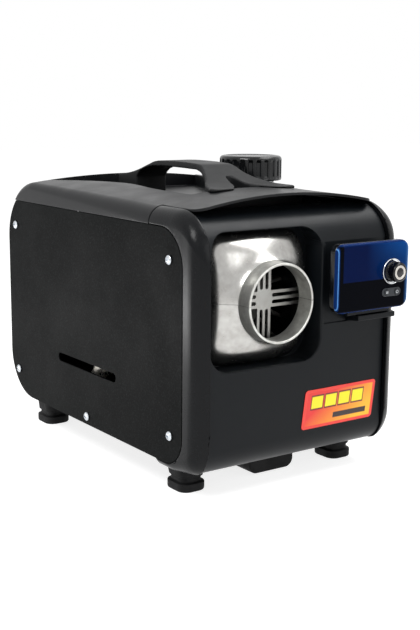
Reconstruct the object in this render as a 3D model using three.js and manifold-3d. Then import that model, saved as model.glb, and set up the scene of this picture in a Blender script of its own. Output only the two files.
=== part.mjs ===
// Portable diesel air heater: a moulded and sheet steel case round a finned burner core, with a fuel tank,
// a dosing pump, a screw cap, a carry handle and a controller with a push knob.
// Millimetres. x runs right from the middle of the case, y runs back from the face of the outlet ring and
// z runs up from the floor. The finished group is centred on its own base.
import * as THREE from 'three';
import { mergeVertices } from 'three/addons/utils/BufferGeometryUtils.js';
import Module from 'manifold-3d';

const wasm = await Module();
wasm.setup();

// ---------------------------------------------------------------- driving dimensions

const fit = 0.3;              // gap left between pieces that rest on each other

const caseFront = 15;         // front of the rim columns
const caseRear = 390;
const crownHeight = 279;      // middle of the arched top
const archRadius = 506;
const shoulderRadius = 16;
const coverHeight = 27.5;     // from the seam over the side panels up to the crown
const rearRise = 1;           // towards the rear the top is higher and flatter, with tighter shoulders
const rearArchRadius = 925;
const rearShoulderRadius = 8;
const bodyBottom = 32;
const rimBottom = 25;         // the front rim hangs lower than the body
const rimCorner = 26;         // lower corners of the rim at its front, and where it meets the body
const bodyCorner = 9;
const rimSideRoll = 17;
const rimTopRoll = 45;
const rimBottomRoll = 25;
const rimDepth = 80;          // front to back length of the rim moulding
const rimStep = 14;           // length over which the rim's underside rises to the body
const rimWall = 5.4;
const rimHoop = 25;           // solid hoop at the back of the rim
const columnWidth = 15;
const rearTopRoll = 56;
const rearBottomRoll = 50;
const rearCoverDepth = 58;
const mouldedWall = 2.6;
const sheet = 2;

const panelSetback = 5;       // front panel behind the front of the columns
const panelTopRoll = 42;
const pocketMargin = 18.2;    // from the case's side to the pocket
const pocketHalfWidth = 63.5;
const pocketHalfHeight = 63;
const pocketDepth = 25;
const pocketCorner = 20;
const pocketRise = 1.2;       // pocket centre above the outlet axis
const fieldDepth = 1.2;       // shallow step that the controller hangs in front of
const fieldDrop = 29;         // step's lower edge below the outlet's axis

const visorLength = 57;       // the arched lip in front of the rim's seam
const recessFront = 104;
const recessRear = 345;
const recessDepth = 17;       // well's floor below the crown
const recessFrontHalf = 68;
const recessWaistHalf = 63;
const recessRearHalf = 102;
const recessWaist = 230;

const sideEdge = 39.5;        // front edge of the side panels
const sideFrontTopCorner = 36;
const sideFrontBottomCorner = 29;
const slotFront = 156;
const slotRear = 275;
const slotHeight = 9;
const slotLevel = 93;

const outletDrop = 95;        // outlet's axis below the crown
const ringOuter = 75;
const ringWall = 3;
const ringLength = 16;
const hoodFlare = 18;         // length of the square to round change
const hoodHalfWidth = 54;
const hoodHalfHeight = 60.5;
const hoodCorner = 22;
const hoodNeck = 17;          // square part that passes through the pocket
const guardDepth = 26.5;
const guardThickness = 2.4;
const guardBar = 3.1;
const guardSlot = 3.2;

const coreHalfWidth = 57.5;
const coreHalfHeight = 61;
const coreCorner = 24;
const coreWall = 2.6;
const coreLength = 248;
const exchangerFront = 70;
const exchangerLength = 155;
const exchangerTube = 36;
const exchangerBore = 31;
const exchangerFins = 20;
const finThickness = 3;
const burnerRadius = 27;
const burnerWall = 2;
const impellerRadius = 35;
const impellerWidth = 12;
const motorRadius = 26;
const motorLength = 35;
const shaftRadius = 3;
const fanRadius = 50;
const fanWidth = 11;
const fanBlades = 7;
const boardLift = 44;

const capInset = 55.3;        // cap axis from the case's side
const capY = 188;
const capRadius = 33;
const capHeight = 25.5;
const capLift = 0.5;          // cap's underside above the crown
const capRibs = 24;
const capRibDepth = 1.3;
const capRoof = 4;
const capPitch = 4;
const neckRadius = 25;
const neckBore = 22;
const sealThickness = 2.4;
const bossRadius = 35;
const tankGap = 7.8;          // from the heater core to the tank
const tankFront = 98;
const tankLength = 232;
const tankWall = 2.4;
const tankCorner = 14;

const gripHalfWidth = 19;
const gripLift = 21;          // grip's top above the crown
const gripThickness = 6.7;
const gripFront = 166;        // where the grip turns down into its front and rear legs
const gripRear = 240;
const handleFront = 92;
const handleRear = 320;
const toeHalfSpan = 51;
const toeLift = 2;
const toeThickness = 6;
const forkHalfGap = 27;
const forkApex = 47;          // depth of the fork between the two toes
const rearLegDepth = 39;

const controllerMargin = 11.3;  // from the controller to the case's side
const controllerLap = 5.5;    // how far it reaches over the pocket
const controllerRise = 17;    // controller's middle above the outlet's axis
const controllerWidth = 91;
const controllerHeight = 65;
const controllerFront = -8;
const controllerDepth = 13;
const controllerCorner = 9;
const faceThickness = 1.2;
const knobOffset = 22.5;      // knob right of the controller's middle
const knobRise = 3.5;
const knobRadius = 10;
const knobLength = 11;
const knobRingRadius = 12.4;
const knobRingHeight = 1.4;
const knobShaftRadius = 3;
const knobTravel = 0.8;
const buttonPitch = 13;
const buttonDrop = 20;        // button row below the knob
const buttonRadius = 2.8;
const buttonTravel = 0.6;
const buttonPlateWidth = 24;
const buttonPlateHeight = 8;
const shelfInset = 7.2;       // shelf's left end left of the controller's middle
const shelfWidth = 48;
const shelfThickness = 9;
const shelfDepth = 17;

const labelInset = 71;        // label's middle from the case's side
const labelZ = 73;
const labelWidth = 90;
const labelHeight = 38;
const labelSlant = 5;
const labelThickness = 0.4;

const footInset = 29;         // foot's middle from the case's side
const footFrontY = 75;
const footRearY = 346;
const footWidth = 29.5;
const footLength = 34;
const footFlange = 8.5;
const footWaist = 4.5;
const skidHalfWidth = 27;
const skidFront = 60;
const skidLength = 37;
const skidClearance = 3.5;
const skidCorner = 9;

const screwHead = 4.4;
const screwDome = 2.4;
const screwShank = 1.8;
const screwLength = 9;
const frontScrewDrop = 28.9;  // upper side screws below the seam
const rearScrewDrop = 27.5;

const pipeRadius = 12;
const pipeWall = 1.4;
const pipeBottom = 27;
const pumpRadius = 14;
const pumpLength = 64;
const pumpOffset = 7.3;       // pump right of the outlet's axis
const pumpFront = 112;
const pumpHeight = 66;
const plungerRadius = 5;
const plungerTravel = 3;
const filterRadius = 11;
const filterLength = 46;
const filterBehind = 64;      // filter's middle in front of the tank's outlet
const filterAside = 28;       // filter's axis from the tank
const hoseRadius = 3;
const nozzle = 12;            // length of a hose nozzle
const inletInset = 49;        // power inlet from the case's side
const inletZ = 86;
const exhaustSide = 54;       // exhaust stub left of the outlet's axis
const exhaustSet = 12;        // exhaust's start in front of the exchanger's rear
const intakeSide = 12;
const intakeSet = 20;         // combustion air pipe behind the exchanger
const bracketLeft = 46;
const bracketRight = 44;
const bracketFront = 106;
const bracketLength = 80;

// Heights that follow the crown
const seamHeight = crownHeight - coverHeight;
const rearCrownHeight = crownHeight + rearRise;
const outletHeight = crownHeight - outletDrop;
const fieldBottom = outletHeight - fieldDrop;
const recessFloor = crownHeight - recessDepth;
const capBottom = crownHeight + capLift;
const gripTop = crownHeight + gripLift;
const toeTop = crownHeight + toeLift;
const controllerZ = outletHeight + controllerRise;
const knobZ = controllerZ + knobRise;

// Places across the case
const caseWidth = pocketMargin + 2 * pocketHalfWidth - controllerLap + controllerWidth + controllerMargin;
const halfCase = caseWidth / 2;
const outletX = pocketMargin + pocketHalfWidth - halfCase;
const controllerX = halfCase - controllerMargin - controllerWidth / 2;
const knobX = controllerX + knobOffset;
const shelfLeft = controllerX - shelfInset;
const capX = halfCase - capInset;
const tankLeft = outletX + coreHalfWidth + tankGap;
const labelX = halfCase - labelInset;
const feetX = halfCase - footInset;
const pumpX = outletX + pumpOffset;
const inletX = halfCase - inletInset;

// ---------------------------------------------------------------- finishes

function finish(color, roughness, metalness = 0) {
  return new THREE.MeshStandardMaterial({ color, roughness, metalness });
}

const finishes = {
  gloss: () => finish(0x17191b, 0.3),
  satin: () => finish(0x1d1f21, 0.45),
  powder: () => finish(0x202120, 0.7),
  rubber: () => finish(0x141414, 0.85),
  cast: () => finish(0xb9bab8, 0.35, 1),
  steel: () => finish(0xc4c6c8, 0.3, 1),
  zinc: () => finish(0xd0d3d6, 0.35, 1),
  tank: () => finish(0xe6e8e8, 0.5),
  blueGlass: () => finish(0x0a1a4a, 0.1),
  chrome: () => finish(0xe8eaec, 0.1, 1),
  greyPad: () => finish(0x6c7074, 0.4),
  board: () => finish(0x1e5a36, 0.6),
  copper: () => finish(0xb4713d, 0.4, 1),
  label: () => finish(0xe0402e, 0.4),
};

// ---------------------------------------------------------------- solids: joining, cutting and turning

const weld = 1e-4;

// One closed solid with its shared corners merged and no collapsed triangles
function toSolid(form) {
  if (form instanceof wasm.Manifold) {
    return form;
  }
  const bare = form.clone();
  bare.deleteAttribute('normal');
  bare.deleteAttribute('uv');
  const merged = mergeVertices(bare, weld);
  const kept = [];
  for (let i = 0; i < merged.index.count; i += 3) {
    const corner = [0, 1, 2].map((k) => merged.index.getX(i + k));
    if (new Set(corner).size === 3) {
      kept.push(...corner);
    }
  }
  return new wasm.Manifold(new wasm.Mesh({
    numProp: 3,
    vertProperties: new Float32Array(merged.attributes.position.array),
    triVerts: new Uint32Array(kept),
  }));
}

function toGeometry(solid) {
  const mesh = solid.getMesh();
  const geometry = new THREE.BufferGeometry();
  geometry.setAttribute('position', new THREE.BufferAttribute(new Float32Array(mesh.vertProperties), 3));
  geometry.setIndex(new THREE.BufferAttribute(new Uint32Array(mesh.triVerts), 1));
  geometry.computeVertexNormals();
  return geometry;
}

function join(...forms) {
  return forms.map(toSolid).reduce((whole, next) => whole.add(next));
}

function cut(form, ...cutters) {
  return cutters.map(toSolid).reduce((whole, next) => whole.subtract(next), toSolid(form));
}

function common(first, second) {
  return toSolid(first).intersect(toSolid(second));
}

function box(x0, x1, y0, y1, z0, z1) {
  const geometry = new THREE.BoxGeometry(x1 - x0, y1 - y0, z1 - z0);
  return geometry.translate((x0 + x1) / 2, (y0 + y1) / 2, (z0 + z1) / 2);
}

function extruded(shape, depth, curveSegments) {
  return new THREE.ExtrudeGeometry(shape, { depth, bevelEnabled: false, curveSegments });
}

// A shape drawn in (y, z) and run along x
function alongX(shape, x0, x1, curveSegments = 3) {
  const turn = new THREE.Matrix4().makeBasis(
    new THREE.Vector3(0, 1, 0),
    new THREE.Vector3(0, 0, 1),
    new THREE.Vector3(1, 0, 0),
  );
  return extruded(shape, x1 - x0, curveSegments).applyMatrix4(turn).translate(x0, 0, 0);
}

// A shape drawn in (x, z) and run along y
function alongY(shape, y0, y1, curveSegments = 3) {
  return extruded(shape, y1 - y0, curveSegments).rotateX(Math.PI / 2).translate(0, y1, 0);
}

// A shape drawn in (x, y) and run along z
function alongZ(shape, z0, z1, curveSegments = 3) {
  return extruded(shape, z1 - z0, curveSegments).translate(0, 0, z0);
}

function roundedRect(u, v, halfWidth, halfHeight, radius) {
  const r = Math.min(radius, halfWidth, halfHeight);
  const shape = new THREE.Shape();
  shape.moveTo(u - halfWidth + r, v - halfHeight);
  shape.lineTo(u + halfWidth - r, v - halfHeight);
  shape.absarc(u + halfWidth - r, v - halfHeight + r, r, -Math.PI / 2, 0);
  shape.lineTo(u + halfWidth, v + halfHeight - r);
  shape.absarc(u + halfWidth - r, v + halfHeight - r, r, 0, Math.PI / 2);
  shape.lineTo(u - halfWidth + r, v + halfHeight);
  shape.absarc(u - halfWidth + r, v + halfHeight - r, r, Math.PI / 2, Math.PI);
  shape.lineTo(u - halfWidth, v - halfHeight + r);
  shape.absarc(u - halfWidth + r, v - halfHeight + r, r, Math.PI, Math.PI * 1.5);
  return shape;
}

function polygon(points) {
  return new THREE.Shape(points.map(([u, v]) => new THREE.Vector2(u, v)));
}

// A turned form from [radius, height] pairs that start and end on the axis, with its axis on +z
function turned(profile, segments = 24) {
  const points = profile.map(([radius, height]) => new THREE.Vector2(radius, height));
  return new THREE.LatheGeometry(points, segments).rotateX(Math.PI / 2);
}

function rodProfile(radius, from, to) {
  return [[0, from], [radius, from], [radius, to], [0, to]];
}

function rodZ(x, y, radius, z0, z1, segments = 24) {
  return turned(rodProfile(radius, z0, z1), segments).translate(x, y, 0);
}

// A turned form whose axis lies on y: heights in the profile become depths
function turnedY(profile, x, z, segments = 24) {
  return turned(profile, segments).rotateX(-Math.PI / 2).translate(x, 0, z);
}

function rodY(x, z, radius, y0, y1, segments = 24) {
  return turnedY(rodProfile(radius, y0, y1), x, z, segments);
}

function rodX(y, z, radius, x0, x1, segments = 16) {
  return turned(rodProfile(radius, x0, x1), segments).rotateY(Math.PI / 2).translate(0, y, z);
}

// A closed skin through rings of equally many points, with a fan over each end
function loft(rings) {
  const count = rings[0].length;
  const centres = [rings[0], rings[rings.length - 1]].map((ring) => {
    const sum = ring.reduce((total, point) => total.add(point), new THREE.Vector3());
    return sum.divideScalar(count);
  });
  const points = [...rings.flat(), ...centres];
  const index = [];
  for (let row = 0; row < rings.length - 1; row += 1) {
    for (let column = 0; column < count; column += 1) {
      const next = (column + 1) % count;
      const a = row * count + column;
      const b = row * count + next;
      index.push(a, a + count, b, b, a + count, b + count);
    }
  }
  const last = (rings.length - 1) * count;
  const firstCentre = rings.length * count;
  for (let column = 0; column < count; column += 1) {
    const next = (column + 1) % count;
    index.push(firstCentre, column, next);
    index.push(firstCentre + 1, last + next, last + column);
  }
  const geometry = new THREE.BufferGeometry();
  geometry.setAttribute('position', new THREE.Float32BufferAttribute(points.flatMap((p) => [p.x, p.y, p.z]), 3));
  geometry.setIndex(index);
  return geometry;
}

// Points round a rounded rectangle, none of them on a straight side, so that it can change into a circle
function roundRing(count, halfWidth, halfHeight, radius) {
  return Array.from({ length: count }, (_, i) => {
    const angle = ((i + 0.5) / count) * Math.PI * 2;
    const u = Math.sign(Math.cos(angle)) * (halfWidth - radius) + radius * Math.cos(angle);
    const v = Math.sign(Math.sin(angle)) * (halfHeight - radius) + radius * Math.sin(angle);
    return [u, v];
  });
}

// A round bar along a smooth path through the points
function tube(points, radius, sides = 8, steps = 12) {
  const path = new THREE.CatmullRomCurve3(points.map((p) => new THREE.Vector3(...p)));
  const section = polygon(Array.from({ length: sides }, (_, i) => {
    const angle = ((i + 0.5) / sides) * Math.PI * 2;
    return [radius * Math.cos(angle), radius * Math.sin(angle)];
  }));
  return new THREE.ExtrudeGeometry(section, { steps, extrudePath: path });
}

// ---------------------------------------------------------------- the scene graph

const heater = new THREE.Group();

function add(name, form, material) {
  const mesh = new THREE.Mesh(toGeometry(toSolid(form)), material());
  mesh.name = name;
  heater.add(mesh);
  return mesh;
}

// ---------------------------------------------------------------- the case's outer form

const columnInner = halfCase - columnWidth;
const rimRear = caseFront + rimDepth;
const panelFace = caseFront + panelSetback;

// How far a skin has drawn in at a distance from an end that is rolled over with this radius
function rollDrop(distance, radius, inset) {
  if (distance >= radius) {
    return 0;
  }
  const inner = radius - inset;
  const reach = radius - distance;
  return inner - Math.sqrt(Math.max(0, inner * inner - reach * reach));
}

// Distances from the end at which a roll is sampled
function rollStations(radius, inset, steps) {
  return Array.from({ length: steps + 1 }, (_, i) => {
    const angle = (i / steps) * (Math.PI / 2);
    return radius - (radius - inset) * Math.cos(angle);
  });
}

function sortedUnique(values) {
  const sorted = [...values].sort((a, b) => a - b);
  return sorted.filter((value, i) => i === 0 || value - sorted[i - 1] > 0.2);
}

// The arched top at depth y: it keeps the front's shape over the rim and changes evenly to the rear's
function topAt(y) {
  const share = (y - rimRear) / (caseRear - rearTopRoll - rimRear);
  const t = Math.min(1, Math.max(0, share));
  return {
    crown: crownHeight + (rearCrownHeight - crownHeight) * t,
    arch: archRadius + (rearArchRadius - archRadius) * t,
    shoulder: shoulderRadius + (rearShoulderRadius - shoulderRadius) * t,
  };
}

// Centre height of the shoulder's arc, where the straight side ends
function shoulderHeight({ crown, arch, shoulder }, halfWidth) {
  const reach = halfWidth - shoulder;
  return crown - arch + Math.sqrt((arch - shoulder) ** 2 - reach ** 2);
}

// Cross-section of the case at depth y: round lower corners, shoulders and an arched top
function caseRing({ y, halfWidth, drop, bottom, corner, inset }) {
  const top = topAt(y);
  const crown = top.crown - drop - inset;
  const arch = top.arch - inset;
  const shoulder = top.shoulder - inset;
  const reach = halfWidth - shoulder;
  const shoulderCentre = shoulderHeight({ crown, arch, shoulder }, halfWidth);
  const lean = Math.asin(reach / (arch - shoulder));
  const points = [];
  const arc = (u, v, radius, from, to, steps) => {
    for (let i = 0; i <= steps; i += 1) {
      const angle = from + ((to - from) * i) / steps;
      points.push(new THREE.Vector3(u + radius * Math.cos(angle), y, v + radius * Math.sin(angle)));
    }
  };
  const lower = Math.max(corner - inset, 1);
  arc(halfWidth - lower, bottom + lower, lower, -Math.PI / 2, 0, 4);
  arc(reach, shoulderCentre, shoulder, 0, Math.PI / 2 - lean, 4);
  arc(0, crown - arch, arch, Math.PI / 2 - lean * 0.8, Math.PI / 2 + lean * 0.8, 6);
  arc(-reach, shoulderCentre, shoulder, Math.PI / 2 + lean, Math.PI, 4);
  arc(-halfWidth + lower, bottom + lower, lower, Math.PI, Math.PI * 1.5, 4);
  return points;
}

function rimForm(inset, rear) {
  const distances = sortedUnique([
    ...rollStations(rimSideRoll, inset, 4),
    ...rollStations(rimTopRoll, inset, 5),
    ...rollStations(rimBottomRoll, inset, 4),
    rimDepth - rimStep,
    rear - caseFront,
  ]);
  return loft(distances.map((distance) => {
    const rise = Math.max(0, (distance - rimDepth + rimStep) / rimStep) * (bodyBottom - rimBottom);
    return caseRing({
      y: caseFront + distance,
      halfWidth: halfCase - inset - rollDrop(distance, rimSideRoll, inset),
      drop: rollDrop(distance, rimTopRoll, inset),
      bottom: rimBottom + rise + inset + rollDrop(distance, rimBottomRoll, inset),
      corner: rimCorner + (bodyCorner - rimCorner) * Math.min(1, distance / rimTopRoll),
      inset,
    });
  }));
}

// The body behind the rim, from depth front back to the rolled rear end
function bodyForm(inset, front, halfWidth, corner) {
  const distances = sortedUnique([
    ...rollStations(rearTopRoll, inset, 5),
    ...rollStations(rearBottomRoll, inset, 4),
    caseRear - rimRear,
    caseRear - front,
  ].filter((distance) => distance <= caseRear - front));
  return loft(distances.reverse().map((distance) => caseRing({
    y: caseRear - distance,
    halfWidth: halfWidth - inset,
    drop: rollDrop(distance, rearTopRoll, inset),
    bottom: bodyBottom + inset + rollDrop(distance, rearBottomRoll, inset),
    corner,
    inset,
  })));
}

// ---------------------------------------------------------------- screws and their places on the side panels

const screwPlaces = [
  [60, seamHeight - frontScrewDrop],
  [caseRear - 19, seamHeight - rearScrewDrop],
  [59, 59.7],
  [caseRear - 19.6, 60],
  [214, 41],
];

function screwHoles(radius, x0, x1) {
  return screwPlaces.map(([y, z]) => rodX(y, z, radius, x0, x1, 8));
}

function addPanelScrews() {
  const seat = halfCase + fit;
  const dome = [
    [0, -screwLength],
    [screwShank, -screwLength],
    [screwShank, 0],
    [screwHead, 0],
    [screwHead, screwDome * 0.4],
    [screwHead * 0.6, screwDome],
    [0, screwDome],
  ];
  const recess = screwHead * 0.55;
  const blade = screwHead * 0.11;
  const bodyOfScrew = cut(
    turned(dome, 10),
    box(-recess, recess, -blade, blade, screwDome * 0.45, screwDome * 2),
    box(-blade, blade, -recess, recess, screwDome * 0.45, screwDome * 2),
  );
  screwPlaces.forEach(([y, z], i) => {
    const right = add(`panel_screw_right_${i + 1}`, bodyOfScrew, finishes.zinc);
    right.rotation.y = Math.PI / 2;
    right.position.set(seat, y, z);
    const left = add(`panel_screw_left_${i + 1}`, bodyOfScrew, finishes.zinc);
    left.rotation.y = -Math.PI / 2;
    left.position.set(-seat, y, z);
  });
}

// ---------------------------------------------------------------- side panels

const sheetInner = halfCase - sheet;

function sidePanelShape(grow) {
  const front = sideEdge - grow;
  const top = seamHeight - fit + grow;
  const bottom = bodyBottom - grow;
  const rear = caseRear + grow;
  const topCorner = sideFrontTopCorner + grow;
  const bottomCorner = sideFrontBottomCorner + grow;
  const rearCentre = shoulderHeight(topAt(caseRear), halfCase) - rearTopRoll;
  const rearRadius = rearTopRoll + grow;
  const meet = Math.asin(Math.min(0.99, (top - rearCentre) / rearRadius));
  const shape = new THREE.Shape();
  shape.moveTo(front + bottomCorner, bottom);
  shape.lineTo(caseRear - rearBottomRoll, bottom);
  shape.absarc(caseRear - rearBottomRoll, bodyBottom + rearBottomRoll, rearBottomRoll + grow, -Math.PI / 2, 0);
  shape.absarc(caseRear - rearTopRoll, rearCentre, rearRadius, 0, meet);
  shape.lineTo(front + topCorner, top);
  shape.absarc(front + topCorner, top - topCorner, topCorner, Math.PI / 2, Math.PI);
  shape.absarc(front + bottomCorner, bottom + bottomCorner, bottomCorner, Math.PI, Math.PI * 1.5);
  return shape;
}

function addSidePanels() {
  const slot = roundedRect((slotFront + slotRear) / 2, slotLevel, (slotRear - slotFront) / 2, slotHeight / 2, slotHeight / 2);
  const holes = screwHoles(screwShank + fit, -sheet, sheet * 2);
  const plate = cut(
    alongX(sidePanelShape(0), 0, sheet, 4),
    alongX(slot, -sheet, sheet * 2),
    ...holes,
  );
  add('side_panel_left', plate, finishes.powder).position.set(-halfCase, 0, 0);
  add('side_panel_right', plate, finishes.powder).position.set(sheetInner, 0, 0);
}

// ---------------------------------------------------------------- front rim, front panel, top cover, rear cover, tray

const panelSeats = (reach) => [
  alongX(sidePanelShape(0.5), sheetInner - fit, reach, 4),
  alongX(sidePanelShape(0.5), -reach, -sheetInner + fit, 4),
];

function addFrontBezel() {
  const opening = columnInner + fit;
  const hoopFront = rimRear - rimHoop;
  const visorSlot = cut(
    box(-opening, opening, caseFront, rimRear + fit, seamHeight, crownHeight + fit),
    bodyForm(mouldedWall + fit, caseFront - 1, halfCase, bodyCorner),
  );
  const shell = cut(
    rimForm(0, rimRear),
    rimForm(rimWall, rimRear + 1),
    box(-opening, opening, caseFront - 5, hoopFront, 0, crownHeight + 5),
    visorSlot,
    ...panelSeats(halfCase + 5),
    ...screwHoles(screwShank + fit, -halfCase, halfCase),
  );
  add('front_bezel', shell, finishes.gloss);
}

const panelTop = crownHeight - (archRadius - Math.sqrt(archRadius ** 2 - columnInner ** 2)) - mouldedWall - fit;
const panelRear = rimRear - rimHoop - fit;
const panelHalf = columnInner - fit;
const pocketZ = outletHeight + pocketRise;

// Side view of the front panel, as the skin or, with no wall, as everything behind that skin
function panelProfile(wall) {
  const top = panelTop;
  const shape = new THREE.Shape();
  const topCentre = [panelFace + panelTopRoll, top - panelTopRoll];
  const bottomCentre = [panelFace + rimBottomRoll, rimBottom + rimBottomRoll];
  shape.moveTo(panelRear, rimBottom);
  shape.absarc(...bottomCentre, rimBottomRoll, -Math.PI / 2, -Math.PI, true);
  shape.absarc(...topCentre, panelTopRoll, Math.PI, Math.PI / 2, true);
  shape.lineTo(panelRear, top);
  if (wall > 0) {
    shape.lineTo(panelRear, top - wall);
    shape.absarc(...topCentre, panelTopRoll - wall, Math.PI / 2, Math.PI);
    shape.absarc(...bottomCentre, rimBottomRoll - wall, Math.PI, Math.PI * 1.5);
    shape.lineTo(panelRear, rimBottom + wall);
  }
  return shape;
}

function pocketShape(grow) {
  return roundedRect(outletX, pocketZ, pocketHalfWidth + grow, pocketHalfHeight + grow, pocketCorner + grow);
}

function addFrontPanel() {
  const floor = panelFace + pocketDepth;
  const fieldLeft = outletX + pocketHalfWidth + mouldedWall;
  const behindSkin = alongX(panelProfile(0), -panelHalf, panelHalf, 4);
  const pocket = common(alongY(pocketShape(mouldedWall), caseFront, floor + mouldedWall), behindSkin);
  const throat = roundedRect(outletX, outletHeight, hoodHalfWidth + fit, hoodHalfHeight + fit, hoodCorner);
  const skin = join(alongX(panelProfile(mouldedWall), -panelHalf, panelHalf, 4), pocket);
  const panel = cut(
    skin,
    alongY(pocketShape(0), caseFront - 5, floor),
    alongY(throat, floor - 5, floor + 10),
    box(fieldLeft, panelHalf + 1, caseFront, panelFace + fieldDepth, fieldBottom, crownHeight),
  );
  add('front_panel', panel, finishes.satin);
}

// Outline of the finger well, narrow at the waist and wide at the rear, drawn in by inset
function recessShape(inset) {
  const front = recessFront + inset;
  const rear = recessRear - inset;
  const shape = new THREE.Shape();
  const sidePoints = [
    [recessFrontHalf - inset, front],
    [(recessFrontHalf + recessWaistHalf) / 2 + 3 - inset, (front + recessWaist) / 2],
    [recessWaistHalf - inset, recessWaist],
    [(recessWaistHalf + recessRearHalf) / 2 - 6 - inset, (recessWaist + rear) / 2],
    [recessRearHalf - inset, rear],
  ];
  shape.moveTo(-recessFrontHalf + inset, front);
  shape.lineTo(recessFrontHalf - inset, front);
  shape.splineThru(sidePoints.slice(1).map(([x, y]) => new THREE.Vector2(x, y)));
  shape.lineTo(-recessRearHalf + inset, rear);
  shape.splineThru(sidePoints.slice(0, 4).reverse().map(([x, y]) => new THREE.Vector2(-x, y)));
  return shape;
}

function recessSpace(inset, z0, z1) {
  return cut(
    alongZ(recessShape(inset), z0, z1, 2),
    rodZ(capX, capY, bossRadius + inset, z0 - 1, z1 + 1, 24),
  );
}

function addTopCover() {
  const visorFront = rimRear - visorLength;
  const above = crownHeight + 5;
  const outer = bodyForm(0, visorFront, halfCase, bodyCorner);
  const shoulders = [-1, 1].map((side) => {
    const inner = side * panelHalf;
    const far = side * (halfCase + 5);
    return box(Math.min(inner, far), Math.max(inner, far), visorFront - 1, rimRear + fit, 0, above);
  });
  const inside = cut(
    bodyForm(mouldedWall, visorFront - 1, halfCase, bodyCorner),
    recessSpace(0, recessFloor - mouldedWall, above),
  );
  const cover = cut(
    outer,
    inside,
    recessSpace(mouldedWall, recessFloor, above + 1),
    box(-halfCase - 5, halfCase + 5, 0, caseRear + 5, 0, seamHeight),
    ...shoulders,
    rodZ(capX, capY, neckRadius + 2, seamHeight, above, 24),
  );
  add('top_cover', cover, finishes.gloss);
}

const trayFront = rimRear + fit;
const trayRear = caseRear - rearCoverDepth - fit;
const trayHalf = sheetInner - fit;
const trayTop = bodyBottom + sheet;

const exchangerRear = exchangerFront + exchangerLength;
const exhaustY = exchangerRear - exhaustSet;
const exhaustRoute = [
  [outletX - 16, exhaustY, outletHeight - exchangerTube + 1],
  [outletX - 16, exhaustY + 1, outletHeight - 66],
  [outletX - exhaustSide + 14, exhaustY + 13, outletHeight - 84],
  [outletX - exhaustSide + 1, exhaustY + 21, outletHeight - 108],
  [outletX - exhaustSide, exhaustY + 22, pipeBottom + 13],
  [outletX - exhaustSide, exhaustY + 22, pipeBottom],
];
const exhaustFoot = exhaustRoute[exhaustRoute.length - 1];
const intakeX = outletX + intakeSide;
const intakeY = exchangerRear + intakeSet;

function addBaseTray() {
  const profile = polygon([
    [-trayHalf, bodyBottom],
    [trayHalf, bodyBottom],
    [trayHalf, bodyBottom + 28],
    [trayHalf - sheet, bodyBottom + 28],
    [trayHalf - sheet, trayTop],
    [-trayHalf + sheet, trayTop],
    [-trayHalf + sheet, bodyBottom + 28],
    [-trayHalf, bodyBottom + 28],
  ]);
  const saddleTop = pumpHeight + 2;
  const saddleHalf = pumpRadius + 4;
  const saddle = cut(
    box(pumpX - saddleHalf, pumpX + saddleHalf, pumpFront + 20, pumpFront + 44, trayTop - 1, saddleTop),
    rodY(pumpX, pumpHeight, pumpRadius + fit, pumpFront, pumpFront + pumpLength, 16),
  );
  const tray = cut(
    join(alongY(profile, trayFront, trayRear), saddle),
    rodZ(exhaustFoot[0], exhaustFoot[1], pipeRadius + 2, 0, trayTop + 5, 16),
    rodZ(intakeX, intakeY, pipeRadius + fit, 0, trayTop + 5, 16),
    ...screwHoles(screwShank + fit, -halfCase, halfCase),
  );
  add('base_tray', tray, finishes.powder);
}

const grilleRadius = 54;
const rearFace = caseRear - fit;

function addRearCover() {
  const open = trayRear + fit;
  const inside = mouldedWall + fit;
  const shell = cut(
    bodyForm(fit, open, halfCase - sheet, 4),
    bodyForm(inside, open - 1, halfCase - sheet, 4),
    box(-halfCase, halfCase, 0, caseRear + 5, seamHeight - fit, crownHeight + 5),
    rodY(outletX, outletHeight, grilleRadius, caseRear - 20, caseRear + 5, 24),
    alongY(roundedRect(inletX, inletZ, 15, 11, 3), caseRear - 20, caseRear + 5, 1),
    ...screwHoles(screwShank + fit, -halfCase, halfCase),
  );
  add('rear_cover', shell, finishes.satin);
}

// Round intake guard: rings on a cross of spokes, clipped into the rear cover's opening
function addRearGrille() {
  const back = rearFace - mouldedWall;
  const ring = (outer, inner, y0, y1) => cut(
    rodY(outletX, outletHeight, outer, y0, y1, 24),
    rodY(outletX, outletHeight, inner, y0 - 1, y1 + 1, 24),
  );
  const rings = [0.34, 0.67].map((share) => {
    const radius = grilleRadius * share;
    return ring(radius, radius - 3, back, rearFace);
  });
  const reach = grilleRadius - 3;
  const spoke = 2;
  const cross = [
    box(outletX - reach, outletX + reach, back, rearFace, outletHeight - spoke, outletHeight + spoke),
    box(outletX - spoke, outletX + spoke, back, rearFace, outletHeight - reach, outletHeight + reach),
  ];
  const grille = join(ring(grilleRadius - fit, grilleRadius - 4, back - 4, rearFace), ...rings, ...cross);
  add('rear_intake_grille', grille, finishes.satin);
}

// ---------------------------------------------------------------- feet and skid

function addFoot(name, x, y, top) {
  const half = [footWidth / 2, footLength / 2];
  const levels = [
    [0, -0.6],
    [1, 0],
    [footFlange, 0],
    [footFlange + 1, -3.5],
    [footFlange + footWaist, -3.5],
    [footFlange + footWaist + 1, -1.5],
    [top, 0.5],
  ];
  const rings = levels.map(([z, grow]) => {
    const ring = roundRing(16, half[0] + grow, half[1] + grow, footWidth * 0.36);
    return ring.map(([u, v]) => new THREE.Vector3(u, v, z)).reverse();
  });
  const foot = add(name, loft(rings), finishes.rubber);
  foot.position.set(x, y, 0);
}

function addFeet() {
  addFoot('foot_front_left', -feetX, footFrontY, rimBottom - fit);
  addFoot('foot_front_right', feetX, footFrontY, rimBottom - fit);
  addFoot('foot_rear_left', -feetX, footRearY, bodyBottom - fit);
  addFoot('foot_rear_right', feetX, footRearY, bodyBottom - fit);
}

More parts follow.
